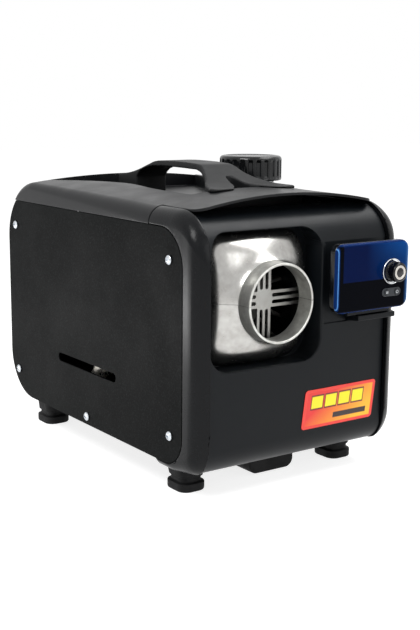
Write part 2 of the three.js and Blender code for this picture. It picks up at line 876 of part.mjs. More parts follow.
function addCentreSkid() {
  const top = rimBottom - fit;
  const shape = new THREE.Shape();
  shape.moveTo(-skidHalfWidth, top);
  shape.absarc(-skidHalfWidth + skidCorner, skidClearance + skidCorner, skidCorner, Math.PI, Math.PI * 1.5);
  shape.absarc(skidHalfWidth - skidCorner, skidClearance + skidCorner, skidCorner, Math.PI * 1.5, Math.PI * 2);
  shape.lineTo(skidHalfWidth, top);
  add('centre_skid', alongY(shape, skidFront, skidFront + skidLength, 4), finishes.rubber);
}

// ---------------------------------------------------------------- carry handle

function smoothThrough(shape, points) {
  shape.splineThru(points.map(([u, v]) => new THREE.Vector2(u, v)));
}

// Side view: thin toes in front, a raised grip and a deep leg behind that stands in the recess
function handleSide() {
  const under = gripTop - gripThickness;
  const legFront = handleRear - rearLegDepth;
  const rise = gripTop - toeTop;
  const frontRun = gripFront - handleFront;
  const rearRun = handleRear - gripRear;
  const shape = new THREE.Shape();
  shape.moveTo(handleFront, toeTop - toeThickness);
  shape.lineTo(handleFront, toeTop - 1);
  smoothThrough(shape, [
    [handleFront + frontRun * 0.3, toeTop + 0.5],
    [handleFront + frontRun * 0.47, toeTop + rise * 0.16],
    [handleFront + frontRun * 0.7, toeTop + rise * 0.52],
    [handleFront + frontRun * 0.86, toeTop + rise * 0.85],
    [gripFront, gripTop - 0.8],
    [(gripFront + gripRear) / 2, gripTop],
    [gripRear, gripTop - 1.2],
    [gripRear + rearRun * 0.22, toeTop + rise * 0.7],
    [gripRear + rearRun * 0.5, toeTop + rise * 0.33],
    [gripRear + rearRun * 0.75, toeTop + rise * 0.1],
    [handleRear, toeTop],
  ]);
  shape.lineTo(handleRear, recessFloor + fit);
  shape.lineTo(legFront, recessFloor + fit);
  shape.lineTo(legFront, toeTop - 1);
  smoothThrough(shape, [
    [legFront - 5, toeTop + rise * 0.2],
    [legFront - 14, toeTop + rise * 0.42],
    [gripRear, under],
    [gripFront + 2, under],
  ]);
  smoothThrough(shape, [
    [handleFront + frontRun * 0.86, under - 3.5],
    [handleFront + frontRun * 0.72, toeTop + rise * 0.12],
    [handleFront + frontRun * 0.55, toeTop - toeThickness],
  ]);
  return shape;
}

// Top view: a straight grip and rear leg, with two toes that spread in front and a fork between them
function handlePlan() {
  const spread = toeHalfSpan - gripHalfWidth;
  const run = gripFront - handleFront;
  const outer = [
    [toeHalfSpan, handleFront + run * 0.08],
    [gripHalfWidth + spread * 0.6, handleFront + run * 0.43],
    [gripHalfWidth + spread * 0.34, handleFront + run * 0.58],
    [gripHalfWidth + spread * 0.08, handleFront + run * 0.82],
    [gripHalfWidth, gripFront],
  ];
  const inner = [
    [forkHalfGap, handleFront],
    [forkHalfGap * 0.42, handleFront + forkApex * 0.45],
    [forkHalfGap * 0.16, handleFront + forkApex * 0.92],
    [0, handleFront + forkApex],
  ];
  const mirror = ([x, y]) => [-x, y];
  const shape = new THREE.Shape();
  shape.moveTo(...inner[0]);
  shape.lineTo(toeHalfSpan - 3, handleFront);
  shape.lineTo(...outer[0]);
  smoothThrough(shape, outer.slice(1));
  shape.lineTo(gripHalfWidth, handleRear);
  shape.lineTo(-gripHalfWidth, handleRear);
  shape.lineTo(-gripHalfWidth, gripFront);
  smoothThrough(shape, outer.slice(0, 4).reverse().map(mirror));
  shape.lineTo(-toeHalfSpan + 3, handleFront);
  shape.lineTo(-forkHalfGap, handleFront);
  smoothThrough(shape, inner.slice(1).map(mirror));
  smoothThrough(shape, inner.slice(0, 3).reverse());
  return shape;
}

function addCarryHandle() {
  const above = gripTop + 20;
  const blank = common(
    alongX(handleSide(), -toeHalfSpan - 5, toeHalfSpan + 5, 2),
    alongZ(handlePlan(), recessFloor - 5, above, 2),
  );
  const coverAndCase = cut(
    bodyForm(-fit, rimRear - visorLength - 5, halfCase, bodyCorner),
    recessSpace(mouldedWall + fit, recessFloor + fit / 2, above),
  );
  add('carry_handle', cut(blank, coverAndCase), finishes.satin);
}

// ---------------------------------------------------------------- outlet hood and guard

const hoodFlat = ringLength + hoodFlare;
const hoodRear = hoodFlat + hoodNeck;

function hoodRings(inset, grow) {
  const ringRadius = ringOuter / 2 - inset;
  const blends = [0, 0.15, 0.38, 0.62, 0.85, 1];
  const stations = [
    [-grow, 1],
    ...[...blends].reverse().map((t) => [hoodFlat - hoodFlare * t, t]),
    [hoodRear + grow, 0],
  ];
  return stations.map(([y, t]) => {
    const s = t * t * (3 - 2 * t) * 0.5 + t * 0.5;
    const mix = (from, to) => from + (to - from) * s;
    const halfWidth = mix(hoodHalfWidth - inset, ringRadius);
    const halfHeight = mix(hoodHalfHeight - inset, ringRadius);
    const radius = Math.min(mix(hoodCorner - inset, ringRadius), halfWidth, halfHeight);
    const ring = roundRing(28, halfWidth, halfHeight, radius);
    return ring.map(([u, v]) => new THREE.Vector3(outletX + u, y, outletHeight + v));
  });
}

function addOutletHood() {
  const whole = cut(loft(hoodRings(0, 0)), loft(hoodRings(ringWall, 1)));
  const far = caseWidth;
  const halfGap = fit / 2;
  const upper = cut(whole, box(-far, far, -50, far, 0, outletHeight + halfGap));
  const lower = cut(whole, box(-far, far, -50, far, outletHeight - halfGap, crownHeight * 2));
  add('outlet_hood_upper', upper, finishes.cast);
  add('outlet_hood_lower', lower, finishes.cast);
}

function addOutletGuard() {
  const reach = hoodHalfHeight + 5;
  const armHalf = (3 * guardBar + 2 * guardSlot) / 2;
  const front = guardDepth;
  const back = guardDepth + guardThickness;
  const arm = (u, v) => box(outletX - u, outletX + u, front, back, outletHeight - v, outletHeight + v);
  const cross = join(arm(reach, armHalf), arm(armHalf, reach));
  const rootOfSlot = armHalf + 1.5;
  const slotCentre = (guardBar + guardSlot) / 2;
  const slotLength = reach - rootOfSlot - 16;
  const slots = [];
  [-1, 1].forEach((side) => {
    [-1, 1].forEach((end) => {
      const along = end * (rootOfSlot + slotLength / 2);
      const across = side * (slotCentre + guardBar / 2 - guardBar / 2);
      const half = [slotLength / 2, guardSlot / 2];
      const wide = roundedRect(outletX + along, outletHeight + across, half[0], half[1], guardSlot / 2);
      const tall = roundedRect(outletX + across, outletHeight + along, half[1], half[0], guardSlot / 2);
      slots.push(alongY(wide, front - 1, back + 1, 2));
      slots.push(alongY(tall, front - 1, back + 1, 2));
    });
  });
  const seat = loft(hoodRings(ringWall + fit, 0));
  add('outlet_guard', common(cut(cross, ...slots), seat), finishes.steel);
}

// ---------------------------------------------------------------- burner core

const coreFront = hoodRear + fit;
const coreRear = coreFront + coreLength;
const coreBottom = outletHeight - coreHalfHeight;
const glowY = exchangerRear - 12;

function addCoreShells() {
  const outer = roundedRect(outletX, outletHeight, coreHalfWidth, coreHalfHeight, coreCorner);
  const inner = roundedRect(
    outletX,
    outletHeight,
    coreHalfWidth - coreWall,
    coreHalfHeight - coreWall,
    coreCorner - coreWall,
  );
  const whole = cut(alongY(outer, coreFront, coreRear), alongY(inner, coreFront - 1, coreRear + 1));
  const far = caseWidth;
  const halfGap = fit / 2;
  const upper = cut(whole, box(-far, far, 0, caseRear, 0, outletHeight + halfGap));
  const lower = cut(
    whole,
    box(-far, far, 0, caseRear, outletHeight - halfGap, crownHeight * 2),
    tube(exhaustRoute, pipeRadius + fit, 12, 12),
    rodZ(intakeX, intakeY, pipeRadius + fit, 0, outletHeight, 16),
  );
  add('heater_shell_upper', upper, finishes.satin);
  add('heater_shell_lower', lower, finishes.satin);
}

function addHeatExchanger() {
  const room = roundedRect(
    outletX,
    outletHeight,
    coreHalfWidth - coreWall - fit,
    coreHalfHeight - coreWall - fit,
    coreCorner - coreWall,
  );
  const reach = coreHalfWidth + coreHalfHeight;
  const outline = [];
  const finAngle = (Math.PI * 2) / exchangerFins;
  const rootHalf = Math.asin(finThickness / 2 / exchangerTube);
  const tipHalf = Math.asin(finThickness / 2 / reach);
  for (let i = 0; i < exchangerFins; i += 1) {
    const middle = (i + 0.5) * finAngle;
    const corner = (radius, angle) => [outletX + radius * Math.cos(angle), outletHeight + radius * Math.sin(angle)];
    outline.push(corner(exchangerTube, middle - rootHalf));
    outline.push(corner(reach, middle - tipHalf));
    outline.push(corner(reach, middle + tipHalf));
    outline.push(corner(exchangerTube, middle + rootHalf));
  }
  const exhaustTop = exhaustRoute[0];
  const casting = cut(
    common(
      alongY(polygon(outline), exchangerFront, exchangerRear),
      alongY(room, exchangerFront - 1, exchangerRear + 1),
    ),
    rodY(outletX, outletHeight, exchangerBore, exchangerFront + 5, exchangerRear + 1, 24),
    tube(exhaustRoute, pipeRadius + fit, 12, 12),
    rodZ(exhaustTop[0], exhaustTop[1], pipeRadius - 3, exhaustTop[2] - 5, outletHeight - exchangerBore + 14, 12),
    rodZ(outletX, glowY, 5 + fit, outletHeight + exchangerBore - 5, outletHeight + coreHalfHeight, 12),
  );
  add('heat_exchanger', casting, finishes.cast);
}

function addBurner() {
  const flange = exchangerTube;
  const start = exchangerFront + 22;
  const end = exchangerRear + fit;
  const tubeProfile = [
    [0, start],
    [burnerRadius, start],
    [burnerRadius, end],
    [flange, end],
    [flange, end + 3],
    [0, end + 3],
  ];
  const burner = cut(
    turnedY(tubeProfile, outletX, outletHeight, 24),
    rodY(outletX, outletHeight, burnerRadius - burnerWall, start - 1, end - 2, 24),
    rodY(outletX, outletHeight, 8, end - 5, end + 5, 16),
  );
  add('burner_tube', burner, finishes.steel);
  const plugBottom = outletHeight + burnerRadius + fit;
  const plugTop = outletHeight + coreHalfHeight - coreWall - fit;
  const plug = [
    [0, plugBottom],
    [2.5, plugBottom],
    [2.5, plugBottom + 8],
    [4.5, plugBottom + 9],
    [4.5, plugTop - 8],
    [3, plugTop - 8],
    [3, plugTop],
    [0, plugTop],
  ];
  add('glow_plug', turned(plug, 12), finishes.steel).position.set(outletX, glowY, 0);
}

const impellerFront = exchangerRear + 6;
const motorFront = impellerFront + impellerWidth + 6;
const motorRear = motorFront + motorLength;
const fanFront = motorRear + 3;
const shaftFront = impellerFront - 2;
const shaftRear = fanFront + fanWidth + 2;

function addMotor() {
  const armHalf = 4;
  const reach = coreHalfWidth + coreHalfHeight;
  const arms = [1, 3, 5, 7].map((eighth) => {
    const arm = box(0, reach, motorFront + 2, motorFront + 6, -armHalf, armHalf);
    return arm.rotateY((eighth * Math.PI) / 4).translate(outletX, 0, outletHeight);
  });
  const room = roundedRect(
    outletX,
    outletHeight,
    coreHalfWidth - coreWall - fit,
    coreHalfHeight - coreWall - fit,
    coreCorner - coreWall,
  );
  const spider = common(join(...arms), alongY(room, motorFront, motorRear));
  const motor = cut(
    join(rodY(outletX, outletHeight, motorRadius, motorFront, motorRear, 24), spider),
    rodY(outletX, outletHeight, shaftRadius + fit, motorFront - 1, motorRear + 1, 12),
  );
  add('motor', motor, finishes.steel);
}

// Blades round a hub, each a flat paddle turned about its own radius
function bladedWheel({ hub, tip, front, width, blades, pitch, thickness }) {
  const hubPiece = rodY(outletX, outletHeight, hub, front, front + width, 20);
  const paddles = Array.from({ length: blades }, (_, i) => {
    const chord = width / Math.max(Math.abs(Math.cos(pitch)), 0.5) * 0.8;
    const paddle = box(-thickness / 2, thickness / 2, -chord / 2, chord / 2, hub - 2, tip);
    paddle.rotateZ(pitch).rotateY((i / blades) * Math.PI * 2);
    return paddle.translate(outletX, front + width / 2, outletHeight);
  });
  const bore = rodY(outletX, outletHeight, shaftRadius + fit, front - 1, front + width + 1, 12);
  return cut(join(hubPiece, ...paddles), bore);
}

function addRotor() {
  add('motor_shaft', rodY(outletX, outletHeight, shaftRadius, shaftFront, shaftRear, 12), finishes.steel);
  const fan = { hub: 17, tip: fanRadius, front: fanFront, width: fanWidth, blades: fanBlades, pitch: 0.75, thickness: 2 };
  add('main_fan', bladedWheel(fan), finishes.satin);
  const disc = cut(
    rodY(outletX, outletHeight, impellerRadius, impellerFront + impellerWidth - 2, impellerFront + impellerWidth, 28),
    rodY(outletX, outletHeight, shaftRadius + fit, impellerFront, impellerFront + impellerWidth + 1, 12),
  );
  const vanes = bladedWheel({
    hub: 9,
    tip: impellerRadius - 1,
    front: impellerFront,
    width: impellerWidth,
    blades: 9,
    pitch: 0,
    thickness: 1.8,
  });
  add('combustion_impeller', join(disc, vanes), finishes.cast);
}

function addControlBoard() {
  const bottom = outletHeight + boardLift;
  const roof = outletHeight + coreHalfHeight - coreWall - fit;
  const front = exchangerRear + 8;
  const rear = fanFront - 3;
  const board = join(
    box(outletX - 29, outletX + 29, front, rear, bottom, bottom + 1.8),
    box(outletX - 20, outletX - 2, front + 6, front + 26, bottom + 1, roof),
    box(outletX + 4, outletX + 22, front + 12, rear - 6, bottom + 1, bottom + 8),
  );
  add('control_board', board, finishes.board);
}

function addCoreBracket() {
  const top = coreBottom - fit;
  const left = outletX - bracketLeft;
  const right = outletX + bracketRight;
  const front = bracketFront;
  const rear = bracketFront + bracketLength;
  const bracket = cut(
    box(left, right, front, rear, trayTop + fit, top),
    box(left + sheet, right - sheet, front - 1, rear + 1, trayTop, top - sheet),
  );
  add('core_bracket', bracket, finishes.powder);
}

function addPipes() {
  const pipe = cut(tube(exhaustRoute, pipeRadius, 12, 12), tube(extend(exhaustRoute), pipeRadius - pipeWall, 12, 12));
  add('exhaust_pipe', pipe, finishes.steel);
  const top = outletHeight - coreHalfHeight + 12;
  const intake = cut(
    rodZ(intakeX, intakeY, pipeRadius, pipeBottom, top, 16),
    rodZ(intakeX, intakeY, pipeRadius - 2, pipeBottom - 1, top + 1, 16),
  );
  add('combustion_intake_pipe', intake, finishes.rubber);
}

// The same route carried a little past both of its ends, for cutting a bore
function extend(route) {
  const first = route[0];
  const last = route[route.length - 1];
  return [[first[0], first[1], first[2] + 2], ...route.slice(1, -1), [last[0], last[1], last[2] - 2]];
}

// ---------------------------------------------------------------- fuel system

const neckTop = capBottom + capHeight - capRoof - sealThickness - 2 * fit;
const tankTop = recessFloor - mouldedWall - fit;
const tankRight = halfCase + fit - screwLength - 1;
const tankRear = tankFront + tankLength;
const tankX = (tankLeft + tankRight) / 2;
const tankY = (tankFront + tankRear) / 2;
const tankHalf = (tankRight - tankLeft) / 2;
const nippleY = tankRear - 26;
const filterY = nippleY - filterBehind;
const lineLevel = trayTop + filterRadius + fit;

function addFuelTank() {
  const body = (inset, bottom, top) => {
    const levels = [[bottom, 4], [bottom + 4, 0], [top - 4, 0], [top, 4]];
    const rings = levels.map(([z, draw]) => {
      const ring = roundRing(20, tankHalf - inset - draw, tankLength / 2 - inset - draw, tankCorner - draw);
      return ring.map(([u, v]) => new THREE.Vector3(tankX + u, tankY + v, z)).reverse();
    });
    return loft(rings);
  };
  const bottom = trayTop + fit;
  const bead = (z) => turned([
    [0, z - 1.5],
    [neckRadius - 0.5, z - 1.5],
    [neckRadius + 1, z],
    [neckRadius - 0.5, z + 1.5],
    [0, z + 1.5],
  ], 24).translate(capX, capY, 0);
  const tank = cut(
    join(
      body(0, bottom, tankTop),
      rodZ(capX, capY, neckRadius, tankTop - 3, neckTop, 24),
      bead(capBottom + 6),
      bead(capBottom + 6 + capPitch),
      rodX(nippleY, lineLevel, hoseRadius, tankLeft - 8, tankLeft + 2, 8),
    ),
    body(tankWall, bottom + tankWall, tankTop - tankWall),
    rodZ(capX, capY, neckBore, tankTop - 10, neckTop + 1, 24),
    rodX(nippleY, lineLevel, hoseRadius - 1.2, tankLeft - 9, tankLeft + 6, 8),
  );
  add('fuel_tank', tank, finishes.tank);
}

function addFuelCap() {
  const flutes = capRibs * 4;
  const ribbed = polygon(Array.from({ length: flutes }, (_, i) => {
    const radius = i % 4 < 2 ? capRadius : capRadius - capRibDepth;
    const angle = ((i + 0.5) / flutes) * Math.PI * 2;
    return [capX + radius * Math.cos(angle), capY + radius * Math.sin(angle)];
  }));
  const top = capBottom + capHeight;
  const crown = turned([
    [0, top - 5],
    [capRadius - capRibDepth - 0.6, top - 5],
    [capRadius - capRibDepth - 0.6, top - 2.5],
    [capRadius - 5, top],
    [0, top],
  ], 24).translate(capX, capY, 0);
  const cap = cut(
    join(
      rodZ(capX, capY, capRadius - 0.2, capBottom, capBottom + 2.4, 32),
      alongZ(ribbed, capBottom + 2, top - 4),
      crown,
    ),
    rodZ(capX, capY, neckRadius + 1 + fit, capBottom - 1, top - capRoof, 24),
  );
  add('fuel_cap', cap, finishes.satin);
  const seal = cut(
    rodZ(capX, capY, neckRadius, neckTop + fit, neckTop + fit + sealThickness, 24),
    rodZ(capX, capY, neckBore - 4, neckTop, neckTop + 10, 20),
  );
  add('cap_seal', seal, finishes.rubber);
}

const filterX = tankLeft - filterAside;
const pumpRear = pumpFront + pumpLength;

function addFuelFilter() {
  const half = filterLength / 2;
  const filter = [
    [0, filterY - half - nozzle],
    [hoseRadius, filterY - half - nozzle],
    [hoseRadius, filterY - half],
    [filterRadius, filterY - half + 4],
    [filterRadius, filterY + half - 4],
    [hoseRadius, filterY + half],
    [hoseRadius, filterY + half + nozzle],
    [0, filterY + half + nozzle],
  ];
  add('fuel_filter', turnedY(filter, filterX, lineLevel, 12), finishes.tank);
}

// Dosing pump: a barrel with a nozzle at each end and a plunger that strokes inside it
function addFuelPump() {
  const chamberFront = pumpFront + 8;
  const pump = cut(
    turnedY([
      [0, pumpFront - nozzle],
      [hoseRadius, pumpFront - nozzle],
      [hoseRadius, pumpFront],
      [pumpRadius, pumpFront + 2],
      [pumpRadius, pumpRear - 2],
      [hoseRadius, pumpRear],
      [hoseRadius, pumpRear + nozzle],
      [0, pumpRear + nozzle],
    ], pumpX, pumpHeight, 16),
    rodY(pumpX, pumpHeight, plungerRadius + fit, chamberFront, pumpRear - 8, 12),
    rodY(pumpX, pumpHeight, hoseRadius - 1.2, pumpFront - nozzle - 1, pumpRear + nozzle + 1, 8),
  );
  add('fuel_pump', pump, finishes.steel);
  const plungerFront = chamberFront + fit;
  const plungerLength = pumpLength - 16 - plungerTravel - 2 * fit;
  const plunger = rodY(pumpX, pumpHeight, plungerRadius, plungerFront, plungerFront + plungerLength, 12);
  add('pump_plunger', plunger, finishes.steel);
}

function addFuelHoses() {
  const filterReach = filterLength / 2 + nozzle + fit;
  const nipple = tankLeft - 8 - fit;
  add('fuel_hose_tank', tube([
    [filterX, filterY + filterReach, lineLevel],
    [filterX, filterY + filterReach + 6, lineLevel],
    [filterX + 3, nippleY - 6, lineLevel],
    [filterX + 11, nippleY, lineLevel],
    [nipple, nippleY, lineLevel],
  ], hoseRadius, 8, 8), finishes.rubber);
  add('fuel_hose_pump', tube([
    [filterX, filterY - filterReach, lineLevel],
    [filterX, filterY - filterReach - 5, lineLevel],
    [(filterX + pumpX) / 2, (filterY - filterReach + pumpRear + nozzle) / 2, (lineLevel + pumpHeight) / 2],
    [pumpX, pumpRear + nozzle + fit + 5, pumpHeight],
    [pumpX, pumpRear + nozzle + fit, pumpHeight],
  ], hoseRadius, 8, 10), finishes.rubber);
  const inlet = [outletX + 29, exchangerRear + 1, coreBottom - fit];
  add('burner_fuel_line', tube([
    [pumpX, pumpFront - nozzle - fit, pumpHeight],
    [pumpX, pumpFront - nozzle - 6, pumpHeight],
    [pumpX + 10, pumpFront - nozzle - 12, pumpHeight + 9],
    [pumpX + 22, pumpFront - nozzle + 2, pumpHeight + 24],
    [inlet[0], pumpFront + 20, inlet[2] - 18],
    [inlet[0], pumpRear, inlet[2] - 18],
    [inlet[0], inlet[1] - 8, inlet[2] - 15],
    [inlet[0], inlet[1], inlet[2] - 6],
    [inlet[0], inlet[1], inlet[2]],
  ], hoseRadius, 8, 26), finishes.rubber);
}

// ---------------------------------------------------------------- controller

const controllerFaceBack = controllerFront + faceThickness;
const buttonRow = knobZ - buttonDrop;
const buttonPlaces = [knobX - buttonPitch / 2, knobX + buttonPitch / 2];

function addController() {
  const back = controllerFront + controllerDepth;
  const halfWidth = controllerWidth / 2;
  const halfHeight = controllerHeight / 2;
  const outline = (inset) => roundedRect(
    controllerX,
    controllerZ,
    halfWidth - inset,
    halfHeight - inset,
    controllerCorner - inset,
  );
  const shell = cut(
    alongY(outline(0), controllerFaceBack + fit, back),
    alongY(outline(2), controllerFaceBack - 1, back - 2),
  );
  add('controller_case', shell, finishes.gloss);
  const face = cut(
    alongY(outline(0), controllerFront, controllerFaceBack),
    rodY(knobX, knobZ, knobShaftRadius + fit, controllerFront - 1, 0, 12),
    ...buttonPlaces.map((x) => rodY(x, buttonRow, buttonRadius + fit, controllerFront - 1, 0, 12)),
  );
  add('controller_face', face, finishes.blueGlass);

  const ringFront = controllerFront - fit - knobRingHeight;
  const ring = cut(
    rodY(knobX, knobZ, knobRingRadius, ringFront, controllerFront - fit, 24),
    rodY(knobX, knobZ, knobRadius + fit, ringFront - 1, controllerFront, 24),
  );
  add('knob_ring', ring, finishes.chrome);

  const knobBack = controllerFront - fit - knobTravel;
  const knobFront = knobBack - knobLength;
  const knob = cut(
    turnedY([
      [0, knobFront],
      [knobRadius - 1.5, knobFront],
      [knobRadius - 0.5, knobFront + 1],
      [knobRadius, knobBack],
      [0, knobBack],
    ], knobX, knobZ, 24),
    cut(
      rodY(knobX, knobZ, knobRadius * 0.62, knobFront - 1, knobFront + 1.2, 20),
      rodY(knobX, knobZ, knobRadius * 0.4, knobFront - 2, knobFront + 2, 16),
    ),
    rodY(knobX, knobZ, knobShaftRadius + fit, knobFront + 3, knobBack + 1, 12),
  );
  add('knob', knob, finishes.chrome);
  const shaftBack = controllerFaceBack + fit + 4;
  const shaft = join(
    rodY(knobX, knobZ, knobShaftRadius, knobFront + 3 + fit, shaftBack, 12),
    rodY(knobX, knobZ, knobShaftRadius + 3, controllerFaceBack + fit, shaftBack, 12),
  );
  add('knob_shaft', shaft, finishes.steel);

  const plateBack = controllerFront - fit;
  const plate = roundedRect(knobX, buttonRow, buttonPlateWidth / 2, buttonPlateHeight / 2, buttonPlateHeight / 2);
  const buttonPlate = cut(
    alongY(plate, plateBack - 0.6, plateBack),
    ...buttonPlaces.map((x) => rodY(x, buttonRow, buttonRadius + fit, controllerFront - 2, 0, 12)),
  );
  add('button_plate', buttonPlate, finishes.greyPad);
  const buttonFront = plateBack - 0.6 - buttonTravel - 0.4;
  const button = join(
    rodY(0, 0, buttonRadius, buttonFront, controllerFaceBack + 2, 12),
    rodY(0, 0, buttonRadius + 1, controllerFaceBack + fit, controllerFaceBack + 2, 12),
  );
  ['button_menu', 'button_power'].forEach((name, i) => {
    add(name, button, finishes.greyPad).position.set(buttonPlaces[i], 0, buttonRow);
  });

  const field = panelFace + fieldDepth - fit;
  const shelfTop = fieldBottom + shelfThickness;
  const bracket = join(
    box(controllerX - 20, controllerX + 34, back + fit, field, shelfTop - 1, controllerZ + 24),
    alongX(polygon([
      [field - shelfDepth, fieldBottom + 2],
      [field, fieldBottom],
      [field, shelfTop],
      [field - shelfDepth, shelfTop - 2],
    ]), shelfLeft, shelfLeft + shelfWidth),
  );
  add('controller_bracket', bracket, finishes.satin);
}

function addLabel() {
  const halfWidth = labelWidth / 2;
  const halfHeight = labelHeight / 2;
  const shape = polygon([
    [labelX - halfWidth - labelSlant / 2, labelZ - halfHeight],
    [labelX + halfWidth - labelSlant / 2, labelZ - halfHeight],
    [labelX + halfWidth + labelSlant / 2, labelZ + halfHeight],
    [labelX - halfWidth + labelSlant / 2, labelZ + halfHeight],
  ]);
  add('label_plate', alongY(shape, panelFace - fit - labelThickness, panelFace - fit), finishes.label);
}

function addPowerInlet() {
  const front = rearFace - 16;
  const inlet = cut(
    join(
      alongY(roundedRect(inletX, inletZ, 15 - fit, 11 - fit, 3), front, rearFace + 1, 1),
      alongY(roundedRect(inletX, inletZ, 19, 15, 4), rearFace + fit + fit, rearFace + 2, 1),
    ),
    alongY(roundedRect(inletX, inletZ, 10, 6, 2), rearFace - 9, rearFace + 5, 1),
  );
  const pins = [-1, 1].map((side) => rodY(inletX + side * 5, inletZ, 1.5, rearFace - 10, rearFace - 1, 8));
  add('power_inlet', join(inlet, ...pins), finishes.gloss);
}

// ---------------------------------------------------------------- assembly

addFrontBezel();
addFrontPanel();
addTopCover();
addCarryHandle();
addSidePanels();
addPanelScrews();
addRearCover();
addRearGrille();
addBaseTray();
addFeet();
addCentreSkid();
addOutletHood();
addOutletGuard();
addCoreShells();
addHeatExchanger();
addBurner();
addMotor();
addRotor();
addControlBoard();
addCoreBracket();
addPipes();
addFuelTank();
addFuelCap();
addFuelFilter();
addFuelPump();
addFuelHoses();
addController();
addLabel();
addPowerInlet();

const extent = new THREE.Box3().setFromObject(heater);
const middle = extent.getCenter(new THREE.Vector3());
heater.position.set(-middle.x, -middle.y, -extent.min.z);
heater.updateMatrixWorld(true);

export default heater;
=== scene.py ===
import logging
import math
from contextlib import contextmanager
from dataclasses import dataclass, field
from enum import Enum
from typing import Callable, Iterable, Iterator, Sequence

import bmesh
import bpy
import numpy as np
from mathutils import Matrix, Vector


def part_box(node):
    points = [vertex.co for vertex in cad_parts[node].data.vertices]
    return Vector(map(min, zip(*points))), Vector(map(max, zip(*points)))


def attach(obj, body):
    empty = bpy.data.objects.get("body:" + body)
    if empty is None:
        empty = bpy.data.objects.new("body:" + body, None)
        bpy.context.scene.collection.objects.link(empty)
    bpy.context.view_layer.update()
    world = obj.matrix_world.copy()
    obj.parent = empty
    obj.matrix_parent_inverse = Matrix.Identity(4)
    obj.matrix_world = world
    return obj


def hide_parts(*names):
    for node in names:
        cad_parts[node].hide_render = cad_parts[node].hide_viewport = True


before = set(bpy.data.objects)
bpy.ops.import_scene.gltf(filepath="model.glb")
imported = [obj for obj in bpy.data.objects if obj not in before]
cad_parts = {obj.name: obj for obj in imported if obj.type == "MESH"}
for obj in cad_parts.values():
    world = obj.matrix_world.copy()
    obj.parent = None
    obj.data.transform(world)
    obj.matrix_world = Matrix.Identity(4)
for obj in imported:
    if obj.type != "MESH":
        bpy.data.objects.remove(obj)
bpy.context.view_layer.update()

MM = 0.001

log = logging.getLogger("heater")

Piece = bpy.types.Object
Material = bpy.types.Material
Tree = bpy.types.NodeTree
Node = bpy.types.Node
Socket = bpy.types.NodeSocket
Point2 = tuple[float, float]
Point3 = tuple[float, float, float]
Ring = list[Point3]
Faces = list[tuple[int, ...]]


class Body(str, Enum):
    """The moving bodies that pieces ride on."""

    CASE = "case"
    CAP = "cap"
    KNOB = "knob"
    BUTTON_LEFT = "button_left"
    BUTTON_RIGHT = "button_right"
    ROTOR = "rotor"


class Cut(str, Enum):
    """How one solid changes another."""

    AWAY = "DIFFERENCE"
    JOIN = "UNION"
    COMMON = "INTERSECT"


# ------------------------------------------------------------------ meshes in the heater's own millimetres


@dataclass(frozen=True)
class Datum:
    """Turns the heater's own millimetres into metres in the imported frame.

    Args:
        depth: packed y, in millimetres, of the plane that holds the face of the outlet ring.
    """

    depth: float

    def place(self, piece: Piece) -> None:
        """Moves and scales a piece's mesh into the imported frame."""
        shift = Matrix.Translation((0.0, self.depth * MM, 0.0))
        piece.data.transform(shift @ Matrix.Scale(MM, 4))


DATUM = Datum(depth=round(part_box("outlet_hood_upper")[0].y / MM, 3))


@contextmanager
def editing(data: bpy.types.Mesh, weld: float) -> Iterator[bmesh.types.BMesh]:
    """Opens a mesh with its near points merged, and writes it back.

    Args:
        data: the mesh.
        weld: distance within which points become one.
    """
    work = bmesh.new()
    work.from_mesh(data)
    bmesh.ops.remove_doubles(work, verts=work.verts, dist=weld)
    yield work
    work.to_mesh(data)
    work.free()


def show(piece: Piece) -> Piece:
    """Links an object to the scene and returns it."""
    bpy.context.scene.collection.objects.link(piece)
    return piece


@dataclass
class Form:
    """A closed skin: its points in millimetres and its faces."""

    points: list[Point3] = field(default_factory=list)
    faces: Faces = field(default_factory=list)

    def piece(self, name: str = "form") -> Piece:
        """The skin as an object in the scene, with its faces pointing out."""
        data = bpy.data.meshes.new(name)
        data.from_pydata([tuple(map(float, p)) for p in self.points], [], self.faces)
        with editing(data, 1e-4) as work:
            bmesh.ops.dissolve_degenerate(work, edges=work.edges, dist=1e-5)
            bmesh.ops.recalc_face_normals(work, faces=work.faces)
        return show(bpy.data.objects.new(name, data))

    def moved(self, x: float, y: float, z: float) -> "Form":
        """The form moved."""
        return Form([(px + x, py + y, pz + z) for px, py, pz in self.points], self.faces)

    def facing_front(self, x: float, z: float) -> "Form":
        """The form with its z axis laid along y, so that heights become depths, centred on x and z."""
        return Form([(x + px, pz, z + py) for px, py, pz in self.points], self.faces)


def loft(rings: Sequence[Ring], closed: bool = False) -> Form:
    """Skins through rings that have equally many points.

    Args:
        rings: the rings, in order.
        closed: the last ring meets the first, as in a tube's wall, instead of each end having a flat face.

    Returns:
        The closed skin.
    """
    count = len(rings[0])
    form = Form([tuple(p) for ring in rings for p in ring])
    rows = len(rings) if closed else len(rings) - 1
    for row in range(rows):
        here, there = row * count, (row + 1) % len(rings) * count
        for column in range(count):
            after = (column + 1) % count
            form.faces.append((here + column, here + after, there + after, there + column))
    if not closed:
        last = (len(rings) - 1) * count
        form.faces.append(tuple(range(count)))
        form.faces.append(tuple(range(last, last + count)))
    return form


def arc(u: float, v: float, radius: float, start: float, end: float, steps: int = 10) -> list[Point2]:
    """Points along an arc, in degrees, both ends included."""
    turns = [math.radians(start + (end - start) * i / steps) for i in range(steps + 1)]
    return [(u + radius * math.cos(a), v + radius * math.sin(a)) for a in turns]


